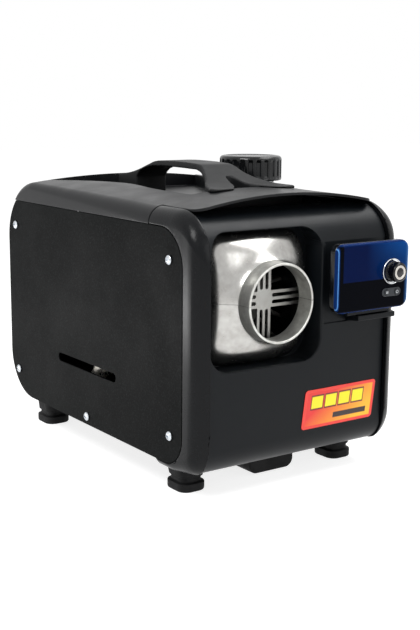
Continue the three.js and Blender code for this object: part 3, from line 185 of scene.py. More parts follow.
def rounded(u: float, v: float, half_u: float, half_v: float, radius: float, steps: int = 10) -> list[Point2]:
    """Outline of a rectangle with round corners, about its centre."""
    r = min(radius, half_u, half_v)
    return [
        *arc(u + half_u - r, v - half_v + r, r, -90, 0, steps),
        *arc(u + half_u - r, v + half_v - r, r, 0, 90, steps),
        *arc(u - half_u + r, v + half_v - r, r, 90, 180, steps),
        *arc(u - half_u + r, v - half_v + r, r, 180, 270, steps),
    ]


def spline(points: Sequence[Point2], steps: int = 8) -> list[Point2]:
    """A smooth line through the points, its first point left out.

    Args:
        points: what the line passes through.
        steps: pieces between two points.

    Returns:
        The points of the line after the first.
    """
    line: list[Point2] = []
    last = len(points) - 1
    for i in range(last):
        p0, p1, p2, p3 = (np.array(points[max(0, min(last, i + k))]) for k in (-1, 0, 1, 2))
        v0, v1 = (p2 - p0) / 2, (p3 - p1) / 2
        for step in range(1, steps + 1):
            t = step / steps
            at = (2 * p1 - 2 * p2 + v0 + v1) * t**3 + (-3 * p1 + 3 * p2 - 2 * v0 - v1) * t**2 + v0 * t + p1
            line.append((float(at[0]), float(at[1])))
    return line


def at_depth(outline: Iterable[Point2], y: float) -> Ring:
    """An (x, z) outline at a depth."""
    return [(x, y, z) for x, z in outline]


def along_x(outline: Sequence[Point2], low: float, high: float) -> Form:
    """A prism whose outline is drawn in (y, z)."""
    return loft([[(x, y, z) for y, z in outline] for x in (low, high)])


def along_y(outline: Sequence[Point2], low: float, high: float) -> Form:
    """A prism whose outline is drawn in (x, z)."""
    return loft([at_depth(outline, y) for y in (low, high)])


def along_z(outline: Sequence[Point2], low: float, high: float) -> Form:
    """A prism whose outline is drawn in (x, y)."""
    return loft([[(x, y, z) for x, y in outline] for z in (low, high)])


def block(x0: float, x1: float, y0: float, y1: float, z0: float, z1: float) -> Form:
    """A plain box between two corners, used only to cut."""
    return along_z([(x0, y0), (x1, y0), (x1, y1), (x0, y1)], z0, z1)


def circle(u: float, v: float, radius: float, count: int = 64) -> list[Point2]:
    """Points round a circle."""
    turns = [2 * math.pi * (i + 0.5) / count for i in range(count)]
    return [(u + radius * math.cos(a), v + radius * math.sin(a)) for a in turns]


def hoop(profile: Sequence[Point2], x: float, z: float, count: int = 72) -> Form:
    """A ring about an axis along y, from the (radius, depth) outline of its section."""
    turns = [2 * math.pi * i / count for i in range(count)]
    rings = [[(x + r * math.cos(a), y, z + r * math.sin(a)) for r, y in profile] for a in turns]
    return loft(rings, closed=True)


def rounded_off(outer: float, inner: float, low: float, high: float, soft: float) -> list[Point2]:
    """A ring's section with its four edges cut back by an amount."""
    return [(outer, low + soft), (outer - soft, low), (inner + soft, low), (inner, low + soft),
            (inner, high - soft), (inner + soft, high), (outer - soft, high), (outer, high - soft)]


def turned(profile: Sequence[Point2], count: int = 64,
           ripple: Callable[[float, float], float] | None = None) -> Form:
    """A turned form about the z axis, from (radius, height) pairs that start and end on the axis.

    Args:
        profile: radius and height.
        count: points round the axis.
        ripple: what the radius loses at an angle and a height, for flutes.

    Returns:
        The closed skin.
    """
    form = Form()
    inner = profile[1:-1]
    for radius, height in inner:
        for i in range(count):
            angle = 2 * math.pi * i / count
            r = radius - (ripple(angle, height) if ripple else 0.0)
            form.points.append((r * math.cos(angle), r * math.sin(angle), height))
    for row in range(len(inner) - 1):
        for i in range(count):
            j = (i + 1) % count
            here, there = row * count, (row + 1) * count
            form.faces.append((here + i, here + j, there + j, there + i))
    for row, height in ((0, profile[0][1]), (len(inner) - 1, profile[-1][1])):
        centre = len(form.points)
        form.points.append((0.0, 0.0, height))
        form.faces += [(row * count + i, row * count + (i + 1) % count, centre) for i in range(count)]
    return form


def evaluated(piece: Piece) -> Piece:
    """Replaces a piece's mesh by what its modifiers make of it, and removes them."""
    bpy.context.view_layer.update()
    graph = bpy.context.evaluated_depsgraph_get()
    result = bpy.data.meshes.new_from_object(piece.evaluated_get(graph), depsgraph=graph)
    piece.modifiers.clear()
    piece.data = result
    return piece


def carve(piece: Piece, *tools: Form | Piece, how: Cut = Cut.AWAY) -> Piece:
    """Cuts, joins or keeps what is common, one tool after another.

    Args:
        piece: what is changed.
        tools: closed forms or objects, which are used up.
        how: the kind of change.

    Returns:
        The same piece with its new mesh.
    """
    shapes = [tool if isinstance(tool, Piece) else tool.piece("tool") for tool in tools]
    for shape in shapes:
        change = piece.modifiers.new("change", "BOOLEAN")
        change.operation = how.value
        change.solver = "MANIFOLD"
        change.object = shape
    evaluated(piece)
    for shape in shapes:
        bpy.data.objects.remove(shape)
    return piece


def soften(piece: Piece, width: float, angle: float = 40.0, segments: int = 2) -> Piece:
    """Rounds a piece's edges a little, as a mould or a file leaves them.

    Args:
        piece: the piece, still in millimetres.
        width: radius of the rounding, in millimetres.
        angle: edges sharper than this, in degrees, are rounded.
        segments: faces across the rounding.

    Returns:
        The same piece.
    """
    with editing(piece.data, 0.01):
        pass
    edge = piece.modifiers.new("edge", "BEVEL")
    edge.width = width
    edge.segments = segments
    edge.limit_method = "ANGLE"
    edge.angle_limit = math.radians(angle)
    edge.use_clamp_overlap = False
    edge.miter_outer = "MITER_ARC"
    return evaluated(piece)


def shade(piece: Piece, angle: float = 32.0) -> Piece:
    """Shades a piece smooth, with a crease wherever two faces meet at more than the angle.

    Large faces weigh more in the normals, so a flat face stays flat up to its rounded edge.
    """
    data = piece.data
    data.polygons.foreach_set("use_smooth", [True] * len(data.polygons))
    data.set_sharp_from_angle(angle=math.radians(angle))
    if angle < 180:
        weigh = piece.modifiers.new("weigh", "WEIGHTED_NORMAL")
        weigh.keep_sharp = True
        weigh.weight = 80
        evaluated(piece)
    return piece


def copy_of(node: str, name: str) -> Piece:
    """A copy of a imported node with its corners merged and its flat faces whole, in the heater's millimetres.

    Args:
        node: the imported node.
        name: the copy's name.

    Returns:
        The copy, linked to the scene.
    """
    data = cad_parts[node].data.copy()
    data.name = name
    data.transform(Matrix.Scale(1 / MM, 4))
    data.transform(Matrix.Translation((0.0, -DATUM.depth, 0.0)))
    with editing(data, 0.004) as work:
        bmesh.ops.dissolve_limit(work, angle_limit=math.radians(0.5), verts=work.verts, edges=work.edges)
    data.materials.clear()
    return show(bpy.data.objects.new(name, data))


def coat(piece: Piece, *materials: Material) -> Piece:
    """Gives a piece these materials and no others."""
    piece.data.materials.clear()
    for material in materials:
        piece.data.materials.append(material)
    return piece


def merged(name: str, pieces: Sequence[Piece]) -> Piece:
    """Puts several pieces into one object, keeping their materials.

    Args:
        name: the new object's name.
        pieces: what goes in, which is used up.

    Returns:
        The one object.
    """
    work = bmesh.new()
    whole = bpy.data.meshes.new(name)
    for piece in pieces:
        offset, first = len(whole.materials), len(work.faces)
        work.from_mesh(piece.data)
        work.faces.ensure_lookup_table()
        for face in work.faces[first:]:
            face.material_index += offset
        for material in piece.data.materials:
            whole.materials.append(material)
        bpy.data.objects.remove(piece)
    work.to_mesh(whole)
    work.free()
    return show(bpy.data.objects.new(name, whole))


# ------------------------------------------------------------------ finishes

TIMES = {"operation": "MULTIPLY"}
COLOUR = {"data_type": "RGBA"}


def linear(hex_colour: str) -> tuple[float, float, float, float]:
    """An sRGB hex colour as linear values with full opacity."""
    parts = [int(hex_colour.lstrip("#")[i : i + 2], 16) / 255 for i in (0, 2, 4)]
    values = [c / 12.92 if c <= 0.04045 else ((c + 0.055) / 1.055) ** 2.4 for c in parts]
    return (values[0], values[1], values[2], 1.0)


def put(tree: Tree, kind: str, settings: dict | None = None,
        **sockets: object) -> Node:
    """Adds a node, sets it up and links it.

    Args:
        tree: where the node goes.
        kind: the node's type.
        settings: attributes of the node.
        sockets: value or source of each input; underscores stand for spaces, and s6 is input 6.

    Returns:
        The new node.
    """
    node = tree.nodes.new(kind)
    for key, value in (settings or {}).items():
        setattr(node, key, value)
    for key, value in sockets.items():
        numbered = key[0] == "s" and key[1:].isdigit()
        socket = node.inputs[int(key[1:])] if numbered else node.inputs[key.replace("_", " ")]
        if isinstance(value, Socket):
            tree.links.new(value, socket)
        else:
            socket.default_value = value
    return node


def blank(owner: Material | bpy.types.World) -> Tree:
    """The emptied node tree of a new material or world."""
    owner.use_nodes = True
    owner.node_tree.nodes.clear()
    return owner.node_tree


def mask(tree: Tree, unit: float, *spans: tuple[Socket, float, float]) -> Socket:
    """Where several values are all past their limits.

    Args:
        tree: where the nodes go.
        unit: what 1 stands for in the limits.
        spans: each value, with the limit where it counts 0 and the limit where it counts 1.

    Returns:
        The product of the counts.
    """
    whole: object = 1.0
    for value, low, high in spans:
        count = put(tree, "ShaderNodeMapRange", Value=value, From_Min=low * unit, From_Max=high * unit)
        whole = put(tree, "ShaderNodeMath", TIMES, s0=whole, s1=count.outputs[0]).outputs[0]
    return whole


@dataclass(frozen=True)
class Finish:
    """A surface as it is really made, with a drifting gloss, a second colour and a fine relief.

    Args:
        name: common name of the material and how it was made.
        colour: main sRGB colour.
        roughness: least roughness.
        rougher: most roughness, where it is handled or dusty.
        other: second sRGB colour, for dust, specks or clouds.
        patch: size in millimetres of the patches that the gloss drifts over.
        lean: where the drift starts and ends to bring in the second colour, and the most of it.
        specks: the second colour follows the relief instead of the drift.
        grain: spacing of the relief in millimetres along x, y and z.
        detail: layers of the relief's noise, and how rough they are.
        rise: height of the relief in millimetres, and its strength.
        gloss: strength of the reflection, 0.5 for a bare surface.
        metallic: 1 for a metal.
    """

    name: str
    colour: str
    roughness: float
    rougher: float
    other: str = ""
    patch: float = 60.0
    lean: Point3 = (0.0, 1.0, 1.0)
    specks: bool = False
    grain: Point3 = (1.0, 1.0, 1.0)
    detail: Point2 = (3.0, 0.5)
    rise: float = 0.0
    strength: float = 0.4
    gloss: float = 0.5
    metallic: float = 0.0

    def build(self) -> Material:
        """The material, as a tree of nodes."""
        material = bpy.data.materials.new(self.name)
        tree = blank(material)
        where = put(tree, "ShaderNodeTexCoord").outputs["Object"]
        drift = put(tree, "ShaderNodeTexNoise", Vector=where, Scale=1 / (self.patch * MM), Detail=4.0,
                    Roughness=0.6)
        spread = put(tree, "ShaderNodeMapRange", Value=drift.outputs[0], From_Min=0.3, From_Max=0.7,
                     To_Min=self.roughness, To_Max=self.rougher)
        shader = put(tree, "ShaderNodeBsdfPrincipled", Base_Color=linear(self.colour), Metallic=self.metallic,
                     Roughness=spread.outputs[0], Specular_IOR_Level=self.gloss)
        put(tree, "ShaderNodeOutputMaterial", Surface=shader.outputs[0])
        self.dress(tree, shader, where, drift.outputs[0])
        return material

    def dress(self, tree: Tree, shader: Node, where: Socket, drift: Socket) -> None:
        """Adds what the surface has beyond its gloss.

        Args:
            tree: the material's tree.
            shader: its surface shader.
            where: coordinates on the object.
            drift: the slow noise that the gloss follows.
        """
        spacing = put(tree, "ShaderNodeMapping", Vector=where, Scale=[1 / (step * MM) for step in self.grain])
        grain = put(tree, "ShaderNodeTexNoise", Vector=spacing.outputs[0], Scale=1.0, Detail=self.detail[0],
                    Roughness=self.detail[1]).outputs[0]
        if self.other:
            low, high, most = self.lean
            share = put(tree, "ShaderNodeMapRange", Value=grain if self.specks else drift, From_Min=low,
                        From_Max=high, To_Max=most)
            tint = put(tree, "ShaderNodeMix", COLOUR, s0=share.outputs[0], s6=linear(self.colour),
                       s7=linear(self.other))
            tree.links.new(tint.outputs[2], shader.inputs["Base Color"])
        if self.rise:
            bump = put(tree, "ShaderNodeBump", Height=grain, Strength=self.strength, Distance=self.rise * MM)
            tree.links.new(bump.outputs[0], shader.inputs["Normal"])


@dataclass(frozen=True)
class MouldedPlastic(Finish):
    """Black ABS from a spark-eroded mould: a fine even grain and dusty patches break up its soft shine."""

    other: str = "#33373b"
    patch: float = 45.0
    lean: Point3 = (0.45, 0.75, 0.35)
    # The real grain is about 0.2 mm and wouldn't show, so it is drawn coarser.
    grain: Point3 = (1.1, 1.1, 1.1)
    detail: Point2 = (2.0, 0.5)
    strength: float = 0.35


@dataclass(frozen=True)
class PowderCoat(Finish):
    """Textured black powder baked on sheet steel: a dry, pebbled skin with tiny pale specks of light."""

    other: str = "#202222"
    patch: float = 70.0
    lean: Point3 = (0.5, 0.78, 1.0)
    specks: bool = True
    grain: Point3 = (1.5, 1.5, 1.5)
    detail: Point2 = (3.0, 0.7)
    rise: float = 0.14
    strength: float = 0.5
    gloss: float = 0.03


@dataclass(frozen=True)
class CastAluminium(Finish):
    """Sand-blasted die-cast aluminium, rubbed along its flow: a bright, slightly cloudy metal."""

    other: str = "#a3a19d"
    patch: float = 9.0
    lean: Point3 = (0.3, 0.75, 1.0)
    grain: Point3 = (10 / 9, 25 / 3, 10 / 9)
    rise: float = 0.06
    strength: float = 0.25
    metallic: float = 1.0


@dataclass(frozen=True)
class PlatedMetal(Finish):
    """Plated or polished steel: an even mirror with faint cloudy wear."""

    patch: float = 4.0
    metallic: float = 1.0


@dataclass(frozen=True)
class Rubber(Finish):
    """Black rubber, pressed in a mould: dull, faintly mottled and never mirror-like."""

    patch: float = 12.0
    grain: Point3 = (10 / 9, 10 / 9, 10 / 9)
    rise: float = 0.12
    gloss: float = 0.2


@dataclass(frozen=True)
class PaintedDuctShade(Rubber):
    """Painted shade for the inside of the hood's duct: cast aluminium made near-black, as matt and mottled as
    rubber.
    """


@dataclass(frozen=True)
class BlownPolyethylene(Finish):
    """Milky blow-moulded polyethylene: light soaks in a little, so it looks waxy."""

    patch: float = 30.0

    def dress(self, tree: Tree, shader: Node, where: Socket, drift: Socket) -> None:
        """Lets light in under the surface."""
        shader.inputs["Subsurface Weight"].default_value = 0.25
        shader.inputs["Subsurface Radius"].default_value = (0.006, 0.006, 0.005)


@dataclass(frozen=True)
class DisplayWindow(Finish):
    """Black acrylic over a blue display, with its edge left clear blue: deep gloss, with painted highlights
    along the rim.

    Args:
        centre: x and z of the window's middle in millimetres.
        half: half its width and height.
        pane: left, right, bottom and top of the blue display behind it.
    """

    gloss: float = 0.02
    centre: Point2 = (64.2, 201.0)
    half: Point2 = (45.5, 32.5)
    pane: tuple[float, float, float, float] = (26.0, 108.0, 198.0, 232.0)

    def dress(self, tree: Tree, shader: Node, where: Socket, drift: Socket) -> None:
        """Lays the pane over the black window, and both over the edge with its painted highlights."""
        apart = put(tree, "ShaderNodeSeparateXYZ", Vector=where)
        x, z = apart.outputs[0], apart.outputs[2]
        left, right, low, high = self.pane
        pane = mask(tree, MM, (x, left - 0.4, left), (x, right + 0.4, right), (z, low - 0.6, low),
                    (z, high + 0.4, high))
        # The pane is navy, with painted light making it lighter towards its upper right.
        (cx, cz), (hx, hz) = self.centre, self.half
        clear = mask(tree, MM, (x, cx - 10, cx + hx), (z, cz - 12, cz + hz))
        # The rounded edge has painted highlights: a bright line on the left and a wide pale band on the right.
        west, east, south, north = cx - hx, cx + hx, cz - hz, cz + hz
        inside = mask(tree, MM, (x, west + 2.2, west + 3.0), (x, east - 1.0, east - 6.5),
                      (z, south + 0.9, south + 1.8), (z, north - 0.9, north - 2.4))
        line = mask(tree, MM, (x, west + 0.9, west + 1.2), (x, west + 1.9, west + 1.5))
        band = mask(tree, MM, (x, east - 6.5, east))
        brightening = put(tree, "ShaderNodeMath", {"operation": "MAXIMUM"}, s0=line, s1=band)
        navy = put(tree, "ShaderNodeMix", COLOUR, s0=clear, s6=linear("#051238"), s7=linear("#0e4486"))
        front = put(tree, "ShaderNodeMix", COLOUR, s0=pane, s6=linear(self.colour), s7=navy.outputs[2])
        # The edge's own dark blue turns pale blue where the painted highlights lie.
        edge = put(tree, "ShaderNodeMix", COLOUR, s0=brightening.outputs[0], s6=linear("#0b2658"),
                   s7=linear("#5288c4"))
        whole = put(tree, "ShaderNodeMix", COLOUR, s0=inside, s6=edge.outputs[2], s7=front.outputs[2])
        tree.links.new(whole.outputs[2], shader.inputs["Base Color"])


@dataclass(frozen=True)
class PrintedFilm(Finish):
    """Glossy printed vinyl: a red field that warms to yellow, with a row of yellow blocks over a dark bar.

    Args:
        centre: x and z of the label's middle in millimetres.
        half: half its width and height.
        slant: how far its top lies right of its bottom.
    """

    centre: Point2 = (50.0, 73.0)
    half: Point2 = (45.0, 19.0)
    slant: float = 5.0

    def dress(self, tree: Tree, shader: Node, where: Socket, drift: Socket) -> None:
        """Prints the label in layers, each between two shares of its width and of its height."""
        apart = put(tree, "ShaderNodeSeparateXYZ", Vector=where)
        (cx, cz), (hx, hz) = self.centre, self.half
        up = put(tree, "ShaderNodeMapRange", {"clamp": False}, Value=apart.outputs[2],
                 From_Min=(cz - hz) * MM, From_Max=(cz + hz) * MM).outputs[0]
        upright = put(tree, "ShaderNodeMath", {"operation": "MULTIPLY_ADD"}, s0=up, s1=-self.slant * MM,
                      s2=apart.outputs[0])
        middle = cx - self.slant / 2
        along = put(tree, "ShaderNodeMapRange", {"clamp": False}, Value=upright.outputs[0],
                    From_Min=(middle - hx) * MM, From_Max=(middle + hx) * MM).outputs[0]
        cooler = put(tree, "ShaderNodeMath", {"operation": "MULTIPLY_ADD"}, s0=up, s1=-0.5, s2=0.5)
        warmth = put(tree, "ShaderNodeMath", {"operation": "MULTIPLY_ADD"}, s0=along, s1=0.9,
                     s2=cooler.outputs[0])
        ground = put(tree, "ShaderNodeMix", COLOUR, s0=mask(tree, 1.0, (warmth.outputs[0], 0.42, 1.15)),
                     s6=linear(self.colour), s7=linear("#f7b320"))
        layers = [((0.035, 0.965, 0.07, 0.93), ground.outputs[2])]
        for left in (0.1, 0.29, 0.48, 0.67):
            layers.append(((left - 0.012, left + 0.172, 0.46, 0.86), linear("#5d1410")))
            layers.append(((left, left + 0.16, 0.5, 0.82), linear("#f7e017")))
        layers.append(((0.42, 0.9, 0.17, 0.33), linear("#2a1510")))
        whole: object = linear("#e2372b")
        for (u0, u1, v0, v1), colour in layers:
            part = mask(tree, 1.0, (along, u0, u0 + 0.008), (along, u1, u1 - 0.008), (up, v0, v0 + 0.02),
                        (up, v1, v1 - 0.02))
            whole = put(tree, "ShaderNodeMix", COLOUR, s0=part, s6=whole, s7=colour).outputs[2]
        tree.links.new(whole, shader.inputs["Base Color"])


@dataclass(frozen=True)
class CircuitBoard(Finish):
    """Green-masked fibreglass board: fine copper lines under a glossy lacquer."""

    def dress(self, tree: Tree, shader: Node, where: Socket, drift: Socket) -> None:
        """Draws the copper lines."""
        lines = put(tree, "ShaderNodeTexBrick", Vector=where, Scale=160.0, Color1=linear(self.colour),
                    Color2=linear("#1d6b42"), Mortar=linear("#7fae6e"), Mortar_Size=0.03)
        tree.links.new(lines.outputs[0], shader.inputs["Base Color"])


class Finishes:
    """Every finish of the heater, made once."""

    def __init__(self) -> None:
        """Builds the materials."""
        moulded, plated = MouldedPlastic, PlatedMetal
        self.rim = moulded("abs_semi_gloss", "#0b0c0e", 0.2, 0.3, "#0f1113", rise=0.04, gloss=0.14).build()
        self.panel = moulded("abs_satin_grain", "#0c0f12", 0.3, 0.42, "#121518", rise=0.07,
                             gloss=0.14).build()
        self.cover = moulded("abs_top_cover", "#0c0d0f", 0.28, 0.4, "#17181a", rise=0.07, gloss=0.2).build()
        self.handle = moulded("nylon_handle", "#121314", 0.4, 0.55, "#1a1b1c", rise=0.08, gloss=0.22).build()
        self.cap = moulded("polypropylene_cap", "#090a0b", 0.15, 0.26, rise=0.02, gloss=0.34).build()
        self.housing = moulded("abs_polished", "#08090c", 0.1, 0.2, rise=0.01, gloss=0.3).build()
        self.pad = moulded("abs_grey", "#2a2d31", 0.3, 0.4, rise=0.01, gloss=0.25).build()
        self.eye = moulded("smoked_acrylic", "#0d0809", 0.06, 0.1).build()
        self.powder = PowderCoat("powder_coat_black", "#070808", 0.42, 0.56).build()
        self.cast = CastAluminium("cast_aluminium", "#b9b8b5", 0.2, 0.28).build()
        self.blasted = CastAluminium("cast_aluminium_blasted", "#d3d4cf", 0.42, 0.5).build()
        self.dull_cast = CastAluminium("cast_aluminium_raw", "#a5a5a2", 0.45, 0.6).build()
        # Near-black painted shade for the inner faces of the hood's duct.
        self.duct_painted_shade = PaintedDuctShade("aluminium_painted_duct_shade", "#1c1b1a", 0.6, 0.75).build()
        self.steel = plated("stainless_steel", "#c9cbcd", 0.2, 0.36).build()
        self.heated = plated("stainless_steel_heat_tinted", "#e6e4df", 0.22, 0.36, "#cfc8b9").build()
        self.zinc = plated("zinc_plate", "#ced3d8", 0.22, 0.38).build()
        self.chrome = plated("chrome_plate", "#e3e5e7", 0.05, 0.12).build()
        self.gunmetal = plated("black_nickel", "#c9c5bf", 0.14, 0.24).build()
        self.rubber = Rubber("pressed_rubber", "#0d0d0e", 0.6, 0.8).build()
        self.tank = BlownPolyethylene("polyethylene_milky", "#e4e6e6", 0.4, 0.5).build()
        self.window = DisplayWindow("acrylic_window", "#030409", 0.05, 0.05).build()
        self.label = PrintedFilm("printed_vinyl", "#dd2b22", 0.25, 0.25).build()
        self.board = CircuitBoard("fibreglass_board", "#175a37", 0.35, 0.35).build()
        self.mark = Finish("white_ink", "#d9dde0", 0.4, 0.5).build()


def publish(piece: Piece, material: Material | None, slot: str, *nodes: str,
            body: Body = Body.CASE, crease: float = 32.0) -> None:
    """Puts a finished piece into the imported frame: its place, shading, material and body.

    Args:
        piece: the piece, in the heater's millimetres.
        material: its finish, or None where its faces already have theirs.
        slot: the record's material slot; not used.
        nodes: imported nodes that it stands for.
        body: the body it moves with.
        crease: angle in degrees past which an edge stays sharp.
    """
    if material is not None:
        coat(piece, material)
    DATUM.place(piece)
    shade(piece, crease)
    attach(piece, body.value)
    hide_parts(*nodes)
    log.info("%s: %d faces on %s", piece.name, len(piece.data.polygons), body.value)


# ------------------------------------------------------------------ Geometry Nodes


class Repeater:
    """A Geometry Nodes tree with named inputs that repeats a piece and dresses the result."""

    def __init__(self, name: str, **kinds: str) -> None:
        """Starts an empty tree with a geometry going in and out.

        Args:
            name: name of the tree.
            kinds: name of each other input and its kind, such as Vector or Object.
        """
        self.tree = bpy.data.node_groups.new(name, "GeometryNodeTree")
        face = self.tree.interface
        for way in ("INPUT", "OUTPUT"):
            face.new_socket("Geometry", in_out=way, socket_type="NodeSocketGeometry")
        self.keys = {key: face.new_socket(key, in_out="INPUT", socket_type=f"NodeSocket{kind}").identifier
                     for key, kind in kinds.items()}

    def finish(self, entry: Node, instances: Socket) -> None:
        """Ends the tree: real geometry with its material."""
        real = put(self.tree, "GeometryNodeRealizeInstances", Geometry=instances)
        dressed = put(self.tree, "GeometryNodeSetMaterial", Geometry=real.outputs[0],
                      Material=entry.outputs["Material"])
        put(self.tree, "NodeGroupOutput", Geometry=dressed.outputs[0])

    def run(self, piece: Piece, **values: object) -> Piece:
        """Runs the tree on a piece and leaves a plain mesh.

        Args:
            piece: what goes in.
            values: value of each named input.

        Returns:
            The piece with the result as its mesh.
        """
        change = piece.modifiers.new(self.tree.name, "NODES")
        change.node_group = self.tree
        for name, value in values.items():
            change[self.keys[name]] = value
        return evaluated(piece)


def round_repeater() -> Repeater:
    """Copies of a piece, turned evenly about an axis along y: ribs, blades and fins."""
    maker = Repeater("around_axis", Count="Int", Centre="Vector", Material="Material")
    tree = maker.tree
    entry = put(tree, "NodeGroupInput")
    points = put(tree, "GeometryNodePoints", Count=entry.outputs["Count"], Position=entry.outputs["Centre"])
    index = put(tree, "GeometryNodeInputIndex")
    turn = put(tree, "ShaderNodeMath", {"operation": "DIVIDE"}, s0=2 * math.pi, s1=entry.outputs["Count"])
    angle = put(tree, "ShaderNodeMath", {"operation": "MULTIPLY"}, s0=index.outputs[0], s1=turn.outputs[0])
    rotation = put(tree, "ShaderNodeCombineXYZ", Y=angle.outputs[0])
    copies = put(tree, "GeometryNodeInstanceOnPoints", Points=points.outputs[0],
                 Instance=entry.outputs["Geometry"], Rotation=rotation.outputs[0])
    maker.finish(entry, copies.outputs[0])
    return maker


def place_repeater() -> Repeater:
    """A copy of another object on each point of the geometry, all turned alike: screws."""
    maker = Repeater("on_places", Pattern="Object", Turn="Vector", Material="Material")
    tree = maker.tree
    entry = put(tree, "NodeGroupInput")
    pattern = put(tree, "GeometryNodeObjectInfo", Object=entry.outputs["Pattern"])
    copies = put(tree, "GeometryNodeInstanceOnPoints", Points=entry.outputs["Geometry"],
                 Instance=pattern.outputs["Geometry"], Rotation=entry.outputs["Turn"])
    maker.finish(entry, copies.outputs[0])
    return maker


# ------------------------------------------------------------------ the case


@dataclass(frozen=True)
class CaseForm:
    """The case's outer form, in millimetres: an arched box whose front rim and rear end are rolled over."""

    half: float = 121.0
    front: float = 15.0
    rear: float = 390.0
    crown: float = 279.0
    arch: float = 506.0
    shoulder: float = 16.0
    rear_crown: float = 280.0
    rear_arch: float = 925.0
    rear_shoulder: float = 8.0
    seam: float = 251.5
    bottom: float = 32.0
    rim_bottom: float = 25.0
    rim_corner: float = 26.0
    body_corner: float = 9.0
    side_roll: float = 17.0
    top_roll: float = 45.0
    bottom_roll: float = 25.0
    rim_depth: float = 80.0
    rim_step: float = 14.0
    rear_top_roll: float = 56.0
    rear_bottom_roll: float = 50.0
    fit: float = 0.3

    @property
    def rim_rear(self) -> float:
        """Depth at which the rim meets the body."""
        return self.front + self.rim_depth

    def top_at(self, y: float) -> Point3:
        """Crown height, arch radius and shoulder radius at a depth."""
        share = (y - self.rim_rear) / (self.rear - self.rear_top_roll - self.rim_rear)
        t = min(1.0, max(0.0, share))
        return (
            self.crown + (self.rear_crown - self.crown) * t, self.arch + (self.rear_arch - self.arch) * t,
            self.shoulder + (self.rear_shoulder - self.shoulder) * t,
        )

    @staticmethod
    def shoulder_height(crown: float, arch: float, shoulder: float, half: float) -> float:
        """Height of the shoulder arc's centre."""
        reach = half - shoulder
        return crown - arch + math.sqrt((arch - shoulder) ** 2 - reach**2)

    @staticmethod
    def roll(distance: float, radius: float, inset: float) -> float:
        """How far a skin has drawn in at a distance from a rolled end."""
        if distance >= radius:
            return 0.0
        inner = radius - inset
        return inner - math.sqrt(max(0.0, inner**2 - (radius - distance) ** 2))

    @staticmethod
    def stations(radius: float, inset: float, steps: int = 14) -> list[float]:
        """Distances from a rolled end at which the roll turns evenly."""
        return [radius - (radius - inset) * math.cos(i / steps * math.pi / 2) for i in range(steps + 1)]

    def ring(self, y: float, half: float, drop: float, bottom: float, corner: float, inset: float) -> Ring:
        """Cross-section at a depth.

        Args:
            y: the depth.
            half: half the width there.
            drop: how far the top lies under the crown.
            bottom: height of the underside.
            corner: radius of the lower corners before the inset.
            inset: how far the skin lies inside the outer one.

        Returns:
            Points round the section.
        """
        crown, arch_radius, shoulder = self.top_at(y)
        crown, arch_radius, shoulder = crown - drop - inset, arch_radius - inset, shoulder - inset
        reach = half - shoulder
        height = self.shoulder_height(crown, arch_radius, shoulder, half)
        lean = math.degrees(math.asin(reach / (arch_radius - shoulder)))
        low = max(corner - inset, 1.0)
        outline = [
            *arc(half - low, bottom + low, low, -90, 0, 10), *arc(reach, height, shoulder, 0, 90 - lean, 9),
            *arc(0, crown - arch_radius, arch_radius, 90 - lean * 0.9, 90 + lean * 0.9, 14),
            *arc(-reach, height, shoulder, 90 + lean, 180, 9),
            *arc(-half + low, bottom + low, low, 180, 270, 10),
        ]
        return at_depth(outline, y)

    @staticmethod
    def spaced(values: Iterable[float], least: float = 0.15) -> list[float]:
        """Sorted values with near twins left out."""
        kept: list[float] = []
        for value in sorted(values):
            if not kept or value - kept[-1] > least:
                kept.append(value)
        return kept

    def rim(self, inset: float, rear: float) -> Form:
        """The rolled front rim as a full solid, back to a depth."""
        distances = self.spaced([
            *self.stations(self.side_roll, inset, 10), *self.stations(self.top_roll, inset),
            *self.stations(self.bottom_roll, inset, 8), self.rim_depth - self.rim_step, rear - self.front,
        ])
        rings = []
        for distance in distances:
            share = max(0.0, (distance - self.rim_depth + self.rim_step) / self.rim_step)
            fade = min(1.0, distance / self.top_roll)
            corner = self.rim_corner + (self.body_corner - self.rim_corner) * fade
            rings.append(self.ring(
                self.front + distance, self.half - inset - self.roll(distance, self.side_roll, inset),
                self.roll(distance, self.top_roll, inset),
                self.rim_bottom + share * (self.bottom - self.rim_bottom) + inset
                + self.roll(distance, self.bottom_roll, inset), corner, inset,
            ))
        return loft(rings)

    def body(self, inset: float, front: float, half: float, corner: float) -> Form:
        """The body behind the rim as a full solid, from a depth back to the rolled rear end."""
        reach = self.rear - front
        wanted = [
            *self.stations(self.rear_top_roll, inset), *self.stations(self.rear_bottom_roll, inset),
            *[self.rear_top_roll + (reach - self.rear_top_roll) * i / 8 for i in range(1, 8)], reach,
        ]
        distances = self.spaced([d for d in wanted if d <= reach])
        return loft([self.ring(
            self.rear - d, half - inset, self.roll(d, self.rear_top_roll, inset),
            self.bottom + inset + self.roll(d, self.rear_bottom_roll, inset), corner, inset,
        ) for d in reversed(distances)])


